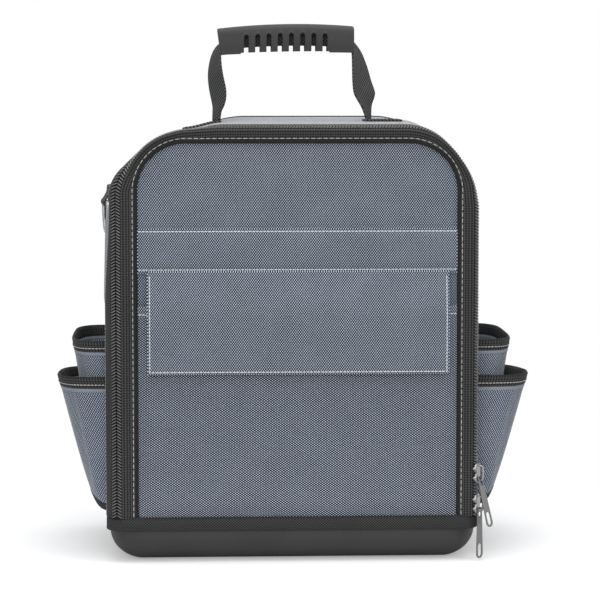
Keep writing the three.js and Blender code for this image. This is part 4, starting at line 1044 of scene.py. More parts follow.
def build_cover():
    """Cover: hangs from the band, slopes out over the pocket's mouth and lies down its front.

    One softened line is carried across, with a slow sine ripple that grows downwards.
    """
    low, high = corners("pocket_cover")
    _, hinge_y, hinge_z = joint_place("pocket_cover_lift")
    face = low[1] + COVER_SEAT
    line = soften(np.array([
        (hinge_y - 0.1, hinge_z + 2.2), (hinge_y - 0.4, hinge_z), (hinge_y - 1.6, hinge_z - 7),
        (face + 0.6, hinge_z - 27), (face, hinge_z - 36), (face, hinge_z - 60), (face, low[2] + COVER_SEAT),
    ]), 3)
    trim_left, trim_right = COVER_TRIM
    wide = np.linspace(low[0] + trim_left, high[0] - trim_right, 91)
    ripple = RIPPLE_HIGH * np.sin(wide / RIPPLE_WIDE) * fade((hinge_z - line[:, 1])[:, None], *RIPPLE_DOWN)
    points = spread(wide, line[:, :1] - ripple, line[:, 1:])
    down = walked(line)
    piece = sheet_piece("cover_cloth", points, COVER_SKIN, cloth, pair(wide, -down[:, None]))
    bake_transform(piece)
    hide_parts("pocket_cover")
    top = int(np.argmax(down > COVER_STITCH_TOP))
    column = 1 + int(COVER_STITCH_IN / (wide[1] - wide[0]))
    lines = (
        points[top:-1, 0] + [COVER_STITCH_IN, -COVER_STITCH_UP, 0],
        points[top:-1, -1] + [-COVER_STITCH_IN, -COVER_STITCH_UP, 0],
        points[-1, column:-column] + [0, -COVER_STITCH_UP, COVER_STITCH_IN],
    )
    rows = [(edge_row, FORWARD) for edge_row in lines]
    stitches = sew("cover_stitches", "pocket_cover", "cloth", CLOTH_SEAM, *rows)


# Side pockets
POCKET_TURN = np.linspace(0, math.pi, 61)
POCKET_SQUARE = (np.sin(POCKET_TURN) ** 4 + np.cos(POCKET_TURN) ** 4) ** 0.25
POCKET_ACROSS = -np.cos(POCKET_TURN) / POCKET_SQUARE
POCKET_OUT = np.sin(POCKET_TURN) / POCKET_SQUARE
POCKETS = (  # side, kind, cloth below its solid, reach past the solid, rear of the rim below its front
    (-1, "outer", 2.5, 0, 7), (-1, "inner", 0, 0, 0), (1, "outer", -1, 3, 7), (1, "inner", 0, 0, 0),
)
BOTTOM_REACH = 2.5  # of a pocket's bottom seam, out from the wall
REACH_SHARES = (0.56, 0.44)  # of the reach that grow evenly and by a power
REACH_POWER = 0.15
PLEAT_TURN = 0.75  # radians from either seam
PLEAT_HALF = 0.09
PLEAT_DEPTH = 3.4
PLEAT_START = (0.05, 0.4)  # shares of the height over which a pleat deepens
PLEAT_END = (0.78, 1.0)  # and over which it closes, by a share
PLEAT_CLOSED = 0.8
ROWS_POWER = 1.8  # gathers the rows of points near the bottom
SIDE_CLOTH_IN = 1.1  # the cloth's middle, in from the pocket's face
SIDE_CLOTH_SKIN = 2.0
RIM_PROUD = 0.4  # the rim's solid, out from the pocket's face
RIM_SKIN = 2.9
RIM_OUT = 0.1  # the rim's middle, out from the cloth's
RIM_FOLD_SKIN = 2.5
RIM_FOLD_LOW = (2.6, 0.2)  # below the rim
BOTTOM_TAPE_OUT = 0.2
BOTTOM_TAPE_SHARE = (0.03, 0.09)  # of the height: at the seams, and more of it in front
RIM_STITCH_OUT = 1.75


def pocket_grid(side, reach, front, back, share, inward):
    """Bellows: at each share of the height a squarish half oval from seam to seam, with two pleats.

    The oval's radius along an even turn is one over the fourth root of sin^4 + cos^4. Its reach grows
    evenly with the share and, steeply at the bottom, with a low power of it. A pleat is a bell curve.
    """
    even, steep = REACH_SHARES
    swell = even * share + steep * share**REACH_POWER
    depth = (BOTTOM_REACH + (reach - BOTTOM_REACH) * swell - inward) * POCKET_OUT
    middles = (PLEAT_TURN, math.pi - PLEAT_TURN)
    pleat = sum(np.exp(-((POCKET_TURN - middle) / PLEAT_HALF) ** 2) for middle in middles)
    closing = 1 - PLEAT_CLOSED * fade(share, *PLEAT_END)
    depth = depth - PLEAT_DEPTH * pleat * fade(share, *PLEAT_START) * closing
    along = (front + back) / 2 + ((back - front) / 2 - inward) * POCKET_ACROSS
    return side * (BODY_HALF + FIT + depth), along


def build_side_pocket(side, kind, drop, slack, dip):
    """One pocket, with a bound rim that dips at the rear, a folded edge under it coloured paler as a painted
    highlight, and pale stitches.
    """
    name = f"{'left' if side < 0 else 'right'}_{kind}"
    low, high = corners(f"{name}_pocket")
    band_low, band_high = corners(f"{name}_binding")
    bottom, rim = low[2] - drop, band_high[2]
    reach = max(abs(band_low[0]), abs(band_high[0])) - BODY_HALF - FIT - RIM_PROUD + slack
    seam = (band_low[2] - bottom) / (rim - bottom)

    def layer(share, proud):
        """Points at shares of the height, out from the cloth's middle; the dip grows with share squared."""
        x, y = pocket_grid(side, reach, low[1], high[1], share, SIDE_CLOTH_IN - proud)
        fall = dip * share**2 * fade(POCKET_ACROSS, -0.8, 1)
        return spread(x, y, bottom + (rim - bottom) * share - fall)

    def add_layer(part, slot, share, proud, thickness, finish, *nodes):
        """One layer of the pocket as a sheet."""
        add_sheet(f"{name}_{part}", "bag", slot, layer(share, proud), thickness, finish, *nodes)

    rows = np.linspace(0, 1, 30)[:, None] ** ROWS_POWER
    add_layer("pocket_cloth", "cloth", seam * rows, 0, SIDE_CLOTH_SKIN, side_cloth, f"{name}_pocket")
    band = np.linspace(seam + 0.004, 1, 5)[:, None]
    add_layer("rim", "webbing", band, RIM_OUT, RIM_SKIN, tape, f"{name}_binding")
    # Real fold under the rim, coloured paler than the cloth as a painted highlight
    fold = seam - np.linspace(*RIM_FOLD_LOW, 4)[:, None] / (rim - bottom)
    add_layer("rim_fold", "cloth", fold, RIM_OUT, RIM_FOLD_SKIN, fold_highlight)
    if kind == "outer":
        at_seam, in_front = BOTTOM_TAPE_SHARE
        tape_top = at_seam + in_front * POCKET_OUT**2
        low_band = np.linspace(0, 1, 8)[:, None] ** ROWS_POWER * tape_top
        add_layer("bottom_tape", "webbing", low_band, BOTTOM_TAPE_OUT, RIM_FOLD_SKIN, tape)
    points = layer(band, RIM_OUT)
    normal = grid_normals(points)
    normal = normal * np.sign(side * normal[2, 30, 0])
    line = points[1] * 0.6 + points[2] * 0.4 + normal[1] * RIM_STITCH_OUT
    sew(f"{name}_rim_stitches", "bag", "webbing", SEAM, (line[1:-1], normal[1][1:-1]))


# Strap rings and their tabs
RING_TURN = math.radians(8)  # the rings face a little forward
RING_HALF_BAR = 13.4
RING_HALF = 17
RING_DROP = 26
WIRE_RADIUS = 2
TAB_BEND = 3.0  # radius of the webbing's middle round the bar
TAB_SKIN = 1.5
TAB_HALF = 10
TAB_SEAM_BOX = np.array([(-7.5, 9.5), (7.5, 9.5), (7.5, 13), (-7.5, 13), (-7.5, 9.5)])
TAB_SEAM_OUT = -1.6


def build_rings():
    """Wire rings swept round a softened D, and the webbing folded round each bar."""
    angle = np.linspace(0, math.pi, 25)
    bow = pair(RING_HALF * np.cos(angle), -RING_DROP * np.sin(angle))
    bow[[0, -1]] = [(RING_HALF_BAR, 0), (-RING_HALF_BAR, 0)]
    bar = pair(np.linspace(-RING_HALF_BAR, RING_HALF_BAR, 9)[1:-1], 0)
    loop = np.concatenate([bow, bar])
    path = soften(np.concatenate([loop, loop[:1]]), 1)[1:-1]
    way = unit(np.roll(path, -1, 0) - np.roll(path, 1, 0))
    normal = pair(way[:, 1], -way[:, 0])
    wire = circle(12)[:, None]
    hug = np.linspace(math.pi, 2.35 * math.pi, 12)
    arc = TAB_BEND * pair(np.cos(hug), np.sin(hug))
    fold = np.concatenate([[(-4.4, 15), (-4.2, 9), (-3.4, 4)], arc, [(-0.6, 6), (-2.2, 9), (-2.7, 14.6)]])
    fold = soften(fold, 1)
    wide = np.linspace(-TAB_HALF, TAB_HALF, 9)[:, None]
    for side, name in ((-1, "left"), (1, "right")):
        middle = joint_place(f"{name}_ring_swing")
        out = np.array([side * math.cos(RING_TURN), -math.sin(RING_TURN), 0])
        along = np.array([math.sin(RING_TURN), side * math.cos(RING_TURN), 0])
        centre = middle + path[:, :1] * along + path[:, 1:] * UPRIGHT
        facing = normal[:, :1] * along + normal[:, 1:] * UPRIGHT
        rings = centre[:, None] + WIRE_RADIUS * (np.cos(wire) * facing[:, None] + np.sin(wire) * out)
        ring = tube_piece(f"{name}_wire_ring", rings, nickel, closed=True)
        place_on(ring, f"{name}_ring", "nickel", f"{name}_d_ring")
        points = middle + fold[:, None, :1] * out + fold[:, None, 1:] * UPRIGHT + wide * along
        add_sheet(f"{name}_tab_webbing", "bag", "webbing", points, TAB_SKIN, webbing, f"{name}_ring_tab")
        sewn = middle + out * TAB_SEAM_OUT + TAB_SEAM_BOX[:, :1] * along + TAB_SEAM_BOX[:, 1:] * UPRIGHT
        rows = [(ends, out) for ends in zip(sewn[:-1], sewn[1:])]
        sew(f"{name}_tab_stitches", "bag", "webbing", BLACK_SEAM, *rows)


# Handle straps from the foot up: x of both edges from the foot, half their distance in depth, height
# above the pivot
LEFT_STRAP = [
    (-2.7, 2.7, 3.0, -7.4), (-2.4, 3.9, 4.5, 0.6), (-2.5, 6.3, 7.0, 5.6), (-3.9, 8.0, 9.0, 12.6),
    (-5.4, 7.8, 10.0, 20.6), (-6.3, 5.9, 10.0, 29.6), (-5.9, 4.5, 9.5, 37.6), (-4.1, 3.7, 8.0, 46.6),
    (-0.9, 4.0, 6.0, 54.1), (3.5, 8.0, 4.5, 58.6), (10.0, 14.0, 4.0, 60.6),
]
RIGHT_STRAP = [
    (-1.1, 2.6, 3.0, -7.0), (-3.8, 2.8, 4.5, 1.1), (-6.5, 3.6, 7.0, 6.6), (-10.6, 5.9, 9.0, 13.1),
    (-12.6, 6.2, 10.0, 18.1), (-13.5, 3.0, 10.0, 27.1), (-13.7, -0.4, 9.0, 38.6), (-13.9, -5.0, 7.5, 50.1),
    (-15.0, -9.5, 5.5, 57.1), (-19.5, -15.0, 4.5, 62.6), (-26.0, -22.0, 4.0, 64.6),
]
STRAP_SKIN = 1.9
STRAP_BOW = 1.0  # of the strap's section
FOOT_OVERRUN = 8  # solid foot reaches in past the strap
FOOT_SHOWN = 5  # of that overrun
FOOT_THICK = 1.4
FOOT_IN = 1  # webbing, in from its solid
FOOT_STITCH_IN = 2.8
FOOT_STITCH_UP = 0.15


def foot_seat(x):
    """Height of the top wall's face half way back, at places in x."""
    run = RUN_MARKS[2] + x - (FLAP_MIDDLE - FLAP_HALF + FLAP_CORNER)
    height = FLAP_TOP + (body_offset(edge(run)[2]) + rear_offset(run)) / 2 - let_in(run, 0.0)
    return sink(spread(x, 0.0, height))[:, 2]


def build_strap(name, side, marks):
    """Twisted strap that rises from its foot: straight rows between two smooth edges, bowed.

    Gives back the x of its foot.
    """
    pivot = joint_place("handle_swing")[2]
    low, high = corners(f"{name}_handle_foot")
    foot = high[0] - FOOT_OVERRUN if side < 0 else low[0] + FOOT_OVERRUN
    first, last, deep, tall = smooth_line(marks, 44).T
    start = spread(foot + first, -side * deep, pivot + tall)
    end = spread(foot + last, side * deep, pivot + tall)
    across = np.linspace(0, 1, 13)[:, None]
    points = start[:, None] * (1 - across) + end[:, None] * across
    face = unit(np.cross(np.gradient(points[:, 6], axis=0), end - start))
    points = points + STRAP_BOW * 4 * across * (1 - across) * face[:, None] * side
    piece = sheet_piece(f"{name}_strap", points, STRAP_SKIN, webbing)
    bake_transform(piece)
    # Both straps are one solid, which the left one stands for
    if side < 0:
        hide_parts("handle_webbing")
    return foot


def build_handle():
    """Two straps and the webbing of their feet, which lies on the top wall and is sewn round in a box."""
    for side, name, marks in ((-1, "left", LEFT_STRAP), (1, "right", RIGHT_STRAP)):
        foot = build_strap(name, side, marks)
        low, high = corners(f"{name}_handle_foot")
        if side < 0:
            high[0] = foot + FOOT_SHOWN
        else:
            low[0] = foot - FOOT_SHOWN
        wide = np.linspace(low[0] + FOOT_IN, high[0] - FOOT_IN, 15)
        depth = np.linspace(low[1] + FOOT_IN, high[1] - FOOT_IN, 11)[:, None]
        points = spread(wide, depth, foot_seat(wide) + FOOT_THICK / 2)
        piece = sheet_piece(f"{name}_foot_webbing", points, FOOT_THICK, webbing)
        place_on(piece, "bag", "webbing", f"{name}_handle_foot")
        (left, front), (right, back) = low[:2] + FOOT_STITCH_IN, high[:2] - FOOT_STITCH_IN
        box = np.array([(left, front), (right, front), (right, back), (left, back)])
        rows = []
        for start, end in zip(box, np.roll(box, -1, 0)):
            x, y = np.linspace(start, end, 12).T
            rows.append((spread(x, y, foot_seat(x) + FOOT_THICK + FOOT_STITCH_UP), UPRIGHT))
        sew(f"{name}_foot_stitches", "bag", "webbing", BLACK_SEAM, *rows)


# Grip
GRIP_TILT = 0.018  # the grip hangs a little higher on the right
GRIP_BOW = 3.0
GRIP_HALF_WIDTH = 11.5
GRIP_HALF_HEIGHT = 11.5
GRIP_WALL = 4.4
GRIP_SHOULDER = 5.0  # where the sides meet the crown, above the grip's middle
GRIP_ROOF = 2.0  # inside, above the grip's middle
GRIP_VAULT = 1.9  # rise of the inside's roof
GRIP_SQUARE = (0.62, 0.72)  # powers that square the crown, across and upwards
GRIP_SLANT = (3.2, 9)  # the left end leans by the first, over a length of the second
GRIP_ROUND = 1.1  # radius on the ends
GRIP_TUCK = (0.9, 4.2, 7.3)  # sides tucked in by the first, from the second below the middle, over the third
SLOTS = 8
SLOT_PITCH = 9.75
SLOT_HALF = 2.1
SLOT_HEIGHT = 15.4
RIB_SHORT = 1.0  # ribs end above the grip's ends
SLOT_BOW = 0.4  # by how much the slots' tops bow less than the grip
RIB_BOW = 1.9  # the same for the ribs' feet
BEAD_HIGH = 0.55  # raised edge round each slot
BEAD_WIDE = 0.95
CORE_IN = 7  # folded webbing, in from the grip's ends
CORE_UP = 9.7
CORE_HALF = (4.4, 5.7)


def grip_stations(middle, reach):
    """Places along the grip for its rings, close together at the slots' edges, and the slots' middles."""
    slots = middle + (np.arange(SLOTS) - (SLOTS - 1) / 2) * SLOT_PITCH
    near = np.array([-2.0, -1.2, -0.6, -0.25, -0.02, 0.02])
    inside = np.array([-0.92, -0.75, -0.4, 0, 0.4, 0.75, 0.92]) * SLOT_HALF
    offsets = np.concatenate([near - SLOT_HALF, inside, -near[::-1] + SLOT_HALF])
    ends = np.array([0, 0.25, 0.9, 2, 4, 8, 12, 16])
    steps = middle + np.array([-1, 1])[:, None] * SLOTS / 2 * SLOT_PITCH + [-0.03, 0.03]
    stations = [middle - reach + ends, (slots[:, None] + offsets).ravel(), steps.ravel(),
                middle + reach - ends[::-1]]
    return np.unique(np.round(np.concatenate(stations), 4)), slots


def build_grip():
    """Grip: an open-bottomed sleeve, bowed upwards, its lower edge notched by eight round-topped slots.

    Each ring goes up the front, over a crown with squarish shoulders, down the back and inside again.
    A bell curve of the distance from a slot's edge raises its bead.
    """
    low, high = corners("handle_grip")
    middle = (low[0] + high[0]) / 2
    reach = (high[0] - low[0]) / 2
    along, slots = grip_stations(middle, reach)
    arched = 1 - ((along - middle) / reach) ** 2
    slotted = np.abs(along - middle) < SLOTS / 2 * SLOT_PITCH
    off = np.abs(along - slots[np.argmin(np.abs(along[:, None] - slots), 1)])
    in_slot = off < SLOT_HALF
    arch = np.sqrt(np.maximum(SLOT_HALF**2 - off**2, 0)) - SLOT_HALF
    bottom = np.where(slotted, np.where(in_slot, SLOT_HEIGHT + arch, RIB_SHORT), 0.0) - GRIP_HALF_HEIGHT
    bottom = bottom - np.where(in_slot, SLOT_BOW, RIB_BOW) * arched
    end_gap = np.minimum(along - (middle - reach), middle + reach - along)
    round_in = (GRIP_ROUND * (1 - np.minimum(end_gap / GRIP_ROUND, 1)) ** 2)[:, None]

    side_z = bottom[:, None] + (GRIP_SHOULDER - bottom[:, None]) * np.linspace(0, 1, 9)
    above = side_z - (SLOT_HEIGHT - GRIP_HALF_HEIGHT)
    beside = np.maximum(off[:, None] - SLOT_HALF * 0.5, 0)
    from_slot = np.where(above < 0, np.abs(off[:, None] - SLOT_HALF), np.hypot(beside, above))
    bead = BEAD_HIGH * np.exp(-(from_slot / BEAD_WIDE) ** 2) * slotted[:, None]
    tuck, tuck_start, tuck_height = GRIP_TUCK
    tucked = tuck * np.clip(-(side_z + tuck_start) / tuck_height, 0, 1)
    front = -(GRIP_HALF_WIDTH - tucked + bead - round_in)
    turn = np.linspace(0, 1, 15)[1:-1] * math.pi
    square_across, square_up = GRIP_SQUARE
    crown = np.abs(np.sin(turn)) ** square_up
    over_y = (GRIP_HALF_WIDTH - round_in) * bowed(np.cos(turn), square_across) * -1
    over_z = GRIP_SHOULDER + (GRIP_HALF_HEIGHT - GRIP_SHOULDER - round_in) * crown
    wall = np.full_like(front, GRIP_HALF_WIDTH - GRIP_WALL)
    inner_side = np.minimum(side_z, GRIP_ROOF)
    inner_over = np.minimum(over_z, GRIP_ROOF + GRIP_VAULT * crown)
    outer_y = np.concatenate([front, over_y, -front[:, ::-1]], 1)
    outer_z = np.concatenate([side_z, over_z, side_z[:, ::-1]], 1)
    inner_y = np.concatenate([-wall, over_y * (1 - GRIP_WALL / GRIP_HALF_WIDTH), wall], 1)
    inner_z = np.concatenate([inner_side, inner_over, inner_side[:, ::-1]], 1)
    lift = (low[2] + GRIP_HALF_HEIGHT + GRIP_BOW * arched + GRIP_TILT * (along - middle))[:, None]
    lean, lean_length = GRIP_SLANT
    slant = lean * (1 - fade(along - middle + reach, 0, lean_length))[:, None]
    outer, inner = [
        spread(along[:, None] + slant * (0.5 - z / (2 * GRIP_HALF_HEIGHT)), y, z + lift)
        for y, z in ((outer_y, outer_z), (inner_y, inner_z))
    ]
    rings = np.concatenate([outer, inner[:, ::-1]], 1)
    add_tube("slotted_grip", "handle", "grip_rubber", rings, rubber, "handle_grip", sharp=42)


def build_grip_core():
    """Folded webbing that shows inside the grip: a squarish oval tube with the grip's bow and tilt."""
    low, high = corners("handle_grip")
    middle = (low[0] + high[0]) / 2
    reach = (high[0] - low[0]) / 2
    x = np.linspace(middle - reach + CORE_IN, middle + reach - CORE_IN, 41)[:, None]
    z = low[2] + CORE_UP + GRIP_BOW * (1 - ((x - middle) / reach) ** 2) + GRIP_TILT * (x - middle)
    wide, tall = CORE_HALF
    angle = circle(16)
    rings = spread(x, wide * bowed(np.cos(angle), 0.6), z + tall * bowed(np.sin(angle), 0.6))
    add_tube("grip_core_webbing", "handle", "webbing", rings, webbing)


# Zip sliders and their pull tabs
ACROSS = np.array([math.cos(ROLL), math.sin(ROLL), 0])  # over the zip, where the sliders are parked
INWARD = np.array([-math.sin(ROLL), math.cos(ROLL), 0])
SLIDER_HALF = (6.4, 8.5)  # top plate, across and along the zip
SLIDER_SQUARE = 0.62  # power that squares the plates' ovals
WAIST_IN = 1.0
WAIST_DOWN = (-1, 7)  # below the slider's middle
NOTCH_SHARE = 0.5
NOTCH_HALF = 2.2
SLIDER_RIM = 1.9  # depth of the side rims
SLIDER_RIM_ACROSS = (0.86, 0.97)  # where they set in and are full, as shares of the half width
SLIDER_RIM_ALONG = (4.4, 6.2)  # where they end, from the slider's middle
TOP_LAYERS = np.array([  # in from the outline, depth, share of the rims' depth
    (1.4, -4.25, 0), (0.6, -4.2, 0), (0.2, -4.0, 0), (0, -3.6, 0),
    (0, -2.95, 1), (0.6, -2.95, 1), (0.7, -2.95, 0),
])
BACK_LAYERS = np.array([(0.3, 0.95), (0, 1.25), (0, 1.9), (0.5, 2.2)])
BACK_NARROW = 0.62
BACK_ASIDE = 0.6
CROWN_RISE = np.array([(6.6, -3.6), (6.5, -5.6), (5.7, -8.2)])  # along the zip and depth
CROWN_TOP = (0, -8.5)
CROWN_HALF = (1.45, 0.72)
PLATE_SHARP = 38  # degrees
PULL_TURN = math.radians(20)  # the tabs hang turned to the front
PULL_THICK = 1.3
PULL_BEVEL = 0.3
PULL_FOOT = (4.0, -39)  # radius of the round foot, and its centre below the bar
PULL_EYE = (2.45, 3.2, -35.8)  # radius of the eye's ends, half their distance, and the eye's middle
PULL_SIDE = [(-2.7, 0.9), (-3.0, -9)]
PULL_WINDOW = np.array([(-1.7, -1.0), (-1.7, -6.0), (-1.1, -6.8), (1.1, -6.8), (1.7, -6.0), (1.7, -1.0)])


def flat_plate(outlines, thickness, bevel):
    """Points and faces of a flat plate with round edges and holes, from its outlines in a plane."""
    curve = bpy.data.curves.new("plate_outline", "CURVE")
    curve.dimensions = "2D"
    curve.fill_mode = "BOTH"
    curve.extrude = thickness / 2 - bevel
    curve.bevel_depth = bevel
    curve.bevel_resolution = 2
    curve.offset = -bevel
    for outline in outlines:
        spline = curve.splines.new("POLY")
        spline.points.add(len(outline) - 1)
        flat = np.concatenate([outline, np.zeros((len(outline), 1)), np.ones((len(outline), 1))], 1)
        spline.points.foreach_set("co", flat.astype(np.float32).ravel())
        spline.use_cyclic_u = True
    holder = link_object("plate_outline", curve)
    bpy.context.view_layer.update()
    mesh = bpy.data.meshes.new_from_object(holder.evaluated_get(bpy.context.evaluated_depsgraph_get()))
    points = np.empty(len(mesh.vertices) * 3, np.float32)
    mesh.vertices.foreach_get("co", points)
    faces = [list(polygon.vertices) for polygon in mesh.polygons]
    bpy.data.objects.remove(holder)
    bpy.data.curves.remove(curve)
    bpy.data.meshes.remove(mesh)
    return points.reshape(-1, 3).astype(float), faces


def build_slider(name):
    """Slider: a waisted top plate, notched on the flap's side, with side rims, a back plate and a crown.

    The plates are squarish ovals at several depths. The crown is a flat oval swept along a low arch.
    """
    low, high = corners(f"{name}_slider")
    x = FLAP_MIDDLE + FLAP_HALF + ZIP_MIDDLE * math.cos(ROLL)
    y = FRONT_Y + ZIP_MIDDLE * math.sin(ROLL)
    middle = np.array([x, y, (low[2] + high[2]) / 2])

    def add_part(part, wide, depth, tall, *nodes, sharp=50):
        """One part from rings across the zip, in depth and along the zip."""
        points = spread(wide, depth, tall)
        rings = middle + points[..., :1] * ACROSS + points[..., 1:2] * INWARD + points[..., 2:] * UPRIGHT
        add_tube(f"{name}_slider_{part}", f"{name}_slider", "nickel", rings, nickel, *nodes, sharp=sharp)

    half_wide, half_tall = SLIDER_HALF
    angle = circle(48)
    tall = half_tall * bowed(np.sin(angle), SLIDER_SQUARE)
    waist = half_wide - WAIST_IN * fade(-tall, *WAIST_DOWN)
    wide = waist * bowed(np.cos(angle), SLIDER_SQUARE)
    wide = wide * np.where(wide < 0, 1 - NOTCH_SHARE * np.exp(-((tall / NOTCH_HALF) ** 2)), 1)
    rim = fade(np.abs(wide) / waist, *SLIDER_RIM_ACROSS) * (1 - fade(np.abs(tall), *SLIDER_RIM_ALONG))
    inset, depth, rim_share = TOP_LAYERS.T[..., None]
    depth = depth + SLIDER_RIM * rim_share * rim
    top_wide, top_tall = wide * (1 - inset / half_wide), tall * (1 - inset / half_tall)
    add_part("top", top_wide, depth, top_tall, f"{name}_slider", sharp=PLATE_SHARP)
    inset, depth = BACK_LAYERS.T[..., None]
    back_wide = wide * (1 - inset / half_wide) * BACK_NARROW + BACK_ASIDE
    add_part("back", back_wide, depth, tall * (1 - inset / half_tall), sharp=PLATE_SHARP)

    arch = soften(np.concatenate([CROWN_RISE, [CROWN_TOP], CROWN_RISE[::-1] * [-1, 1]]))
    way = unit(np.gradient(arch, axis=0))
    turn = circle(10)
    half_width, half_thick = CROWN_HALF
    thick = half_thick * np.sin(turn)
    crown_tall = arch[:, :1] + thick * way[:, 1:]
    crown_deep = arch[:, 1:] - thick * way[:, :1]
    add_part("crown", half_width * bowed(np.cos(turn), 0.6), crown_deep, crown_tall)


def build_pull(name, tilt):
    """Pull tab: a flat plate with a round foot, a window for the crown and a long eye, hung from its bar."""
    arc = np.linspace(math.pi, TURN, 17)
    foot_radius, foot_down = PULL_FOOT
    foot = foot_radius * pair(np.cos(arc), np.sin(arc)) + [0, foot_down]
    side = np.array(PULL_SIDE)
    outline = np.concatenate([side, foot, side[::-1] * [-1, 1]])[::-1]
    full = circle(28)
    eye_radius, eye_half, eye_down = PULL_EYE
    eye_tall = eye_half * np.sign(np.sin(full)) + eye_radius * np.sin(full) + eye_down
    eye = pair(eye_radius * np.cos(full), eye_tall)
    points, faces = flat_plate([outline, PULL_WINDOW, eye], PULL_THICK, PULL_BEVEL)
    lean = math.radians(tilt)
    hang = UPRIGHT * math.cos(lean) + INWARD * math.sin(lean)
    thick_way = INWARD * math.cos(lean) - UPRIGHT * math.sin(lean)
    wide_way = ACROSS * math.cos(PULL_TURN) - thick_way * math.sin(PULL_TURN)
    face_way = thick_way * math.cos(PULL_TURN) + ACROSS * math.sin(PULL_TURN)
    placed = joint_place(f"{name}_pull_swing") + points @ np.stack([wide_way, hang, face_way])
    piece = add_mesh(f"{name}_pull_tab", placed, faces, points[:, :2], dull_nickel, sharp=PLATE_SHARP)
    place_on(piece, f"{name}_pull", "nickel", f"{name}_pull")


# Stage, light and camera, in metres
FLOOR_HALF = 1.6
FLOOR_FADE = (0.2, 0.42)  # from the bag's middle
FLOOR_GLOW = 0.3
LAMPS = (  # name, place, aim, size and energy
    ("top_light", (0.0, -0.35, 1.75), (0, 0, 0.25), (1.8, 1.3), 20),
    ("front_light", (-0.5, -2.3, 1.0), (0, 0, 0.2), (2.2, 1.6), 20),
    ("side_light", (1.9, -1.0, 0.9), (0, 0, 0.2), (1.2, 1.4), 5),
)
AMBIENT_COLOUR = (0.95, 0.97, 1.0, 1)
AMBIENT_STRENGTH = 0.38
CAMERA_AZIMUTH = math.radians(-2.625)
CAMERA_HEIGHT = math.radians(5.122)
CAMERA_FAR = 2.3
CAMERA_AIM = (0.00864, 0.0, 0.21557)
CAMERA_PIXELS = 2615.7  # focal length in pixels
FRAME_PIXELS = 600
SENSOR_WIDTH = 36  # mm


def build_floor():
    """Pale floor that fades out with the distance from the bag and glows a little to the camera."""
    mesh = bpy.data.meshes.new("floor")
    side = np.linspace(-FLOOR_HALF, FLOOR_HALF, 9)
    points = spread(side, side[:, None], 0.0)
    mesh.from_pydata(points.reshape(-1, 3).tolist(), [], grid_faces(9, 9).tolist())
    sockets = {"Base Color": (0.93, 0.93, 0.93, 1), "Roughness": 0.9}
    finish, tree, shader = start_finish("pale_floor", sockets)
    plain = shader.outputs["BSDF"]
    place = add_node(tree, "TexCoord", {}).outputs["Object"]
    far = add_node(tree, "VectorMath", {0: place}, operation="LENGTH").outputs["Value"]
    near_end, far_end = FLOOR_FADE
    fading = {"Value": far, "From Min": near_end, "From Max": far_end}
    faded = add_node(tree, "MapRange", fading).outputs["Result"]
    glow = add_node(tree, "Emission", {"Strength": FLOOR_GLOW}).outputs["Emission"]
    paler = add_node(tree, "AddShader", {0: plain, 1: glow}).outputs["Shader"]
    ray = add_node(tree, "LightPath", {}).outputs["Is Camera Ray"]
    seen = add_node(tree, "MixShader", {"Fac": ray, 1: plain, 2: paler}).outputs["Shader"]
    clear = add_node(tree, "BsdfTransparent", {}).outputs["BSDF"]
    mix = add_node(tree, "MixShader", {"Fac": faded, 1: seen, 2: clear}).outputs["Shader"]
    tree.links.new(mix, tree.nodes["Material Output"].inputs["Surface"])
    mesh.materials.append(finish)
    link_object("floor", mesh)


def point_at(holder, place, aim):
    """Sets an object at a place with its -Z way towards an aim and its Y way up."""
    back = unit(np.array(place, float) - np.array(aim, float))
    right = unit(np.cross(UPRIGHT, back))
    matrix = np.eye(4)
    matrix[:3, :3] = np.stack([right, np.cross(back, right), back], 1)
    matrix[:3, 3] = place
    holder.matrix_world = mathutils.Matrix(matrix.tolist())


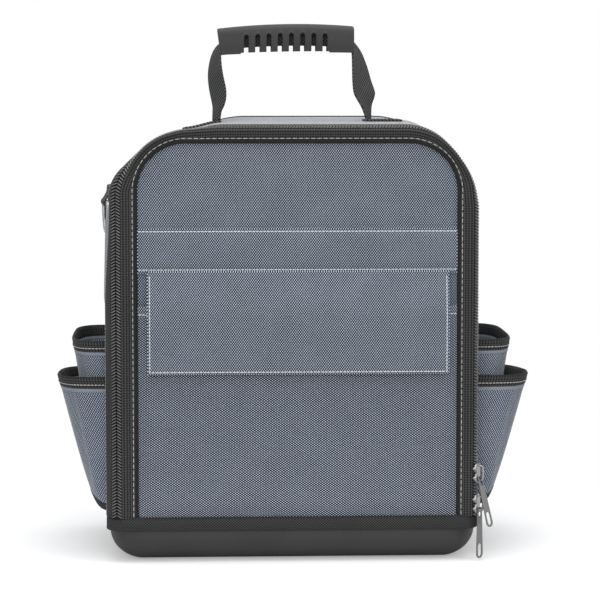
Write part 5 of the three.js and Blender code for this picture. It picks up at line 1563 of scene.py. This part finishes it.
def build_light():
    """Soft light from above, in front and the right, and a white surround."""
    for name, place, aim, size, energy in LAMPS:
        lamp = bpy.data.lights.new(name, "AREA")
        lamp.shape = "RECTANGLE"
        lamp.size, lamp.size_y = size
        lamp.energy = energy
        point_at(link_object(name, lamp), place, aim)

    world = bpy.data.worlds.new("white_surround")
    bpy.context.scene.world = world
    world.use_nodes = True
    tree = world.node_tree
    ambient = tree.nodes["Background"]
    ambient.inputs["Color"].default_value = AMBIENT_COLOUR
    ambient.inputs["Strength"].default_value = AMBIENT_STRENGTH
    shown = add_node(tree, "Background", {"Color": (1, 1, 1, 1)}).outputs["Background"]
    ray = add_node(tree, "LightPath", {}).outputs
    seen = sums(tree, "MAXIMUM", ray["Is Camera Ray"], ray["Is Glossy Ray"])
    seen = sums(tree, "MAXIMUM", seen, ray["Is Transmission Ray"])
    mix = add_node(tree, "MixShader", {"Fac": seen, 1: ambient.outputs["Background"], 2: shown})
    tree.links.new(mix.outputs["Shader"], tree.nodes["World Output"].inputs["Surface"])


def build_camera():
    """Camera fitted to the photograph's viewing angle: a distance from its aim, turned and raised."""
    camera = bpy.data.cameras.new("camera")
    camera.sensor_width = SENSOR_WIDTH
    camera.lens = CAMERA_PIXELS / FRAME_PIXELS * camera.sensor_width
    holder = link_object("camera", camera)
    flat = CAMERA_FAR * math.cos(CAMERA_HEIGHT)
    away = np.array([flat * math.sin(CAMERA_AZIMUTH), -flat * math.cos(CAMERA_AZIMUTH),
                     CAMERA_FAR * math.sin(CAMERA_HEIGHT)])
    point_at(holder, np.array(CAMERA_AIM) + away, CAMERA_AIM)
    bpy.context.scene.camera = holder
    bpy.context.scene.view_settings.view_transform = "Standard"


build_base()
build_gussets()
build_rear()
build_tool_pockets()
build_body_zip()
for pocket in POCKETS:
    build_side_pocket(*pocket)
build_rings()
build_flap_zip()
build_flap()
build_front_pocket()
build_fold()
build_cover()
build_handle()
build_grip()
build_grip_core()
for slider_name, pull_tilt in (("lower", 0), ("upper", 13)):
    build_slider(slider_name)
    build_pull(slider_name, pull_tilt)
build_floor()
build_light()
build_camera()
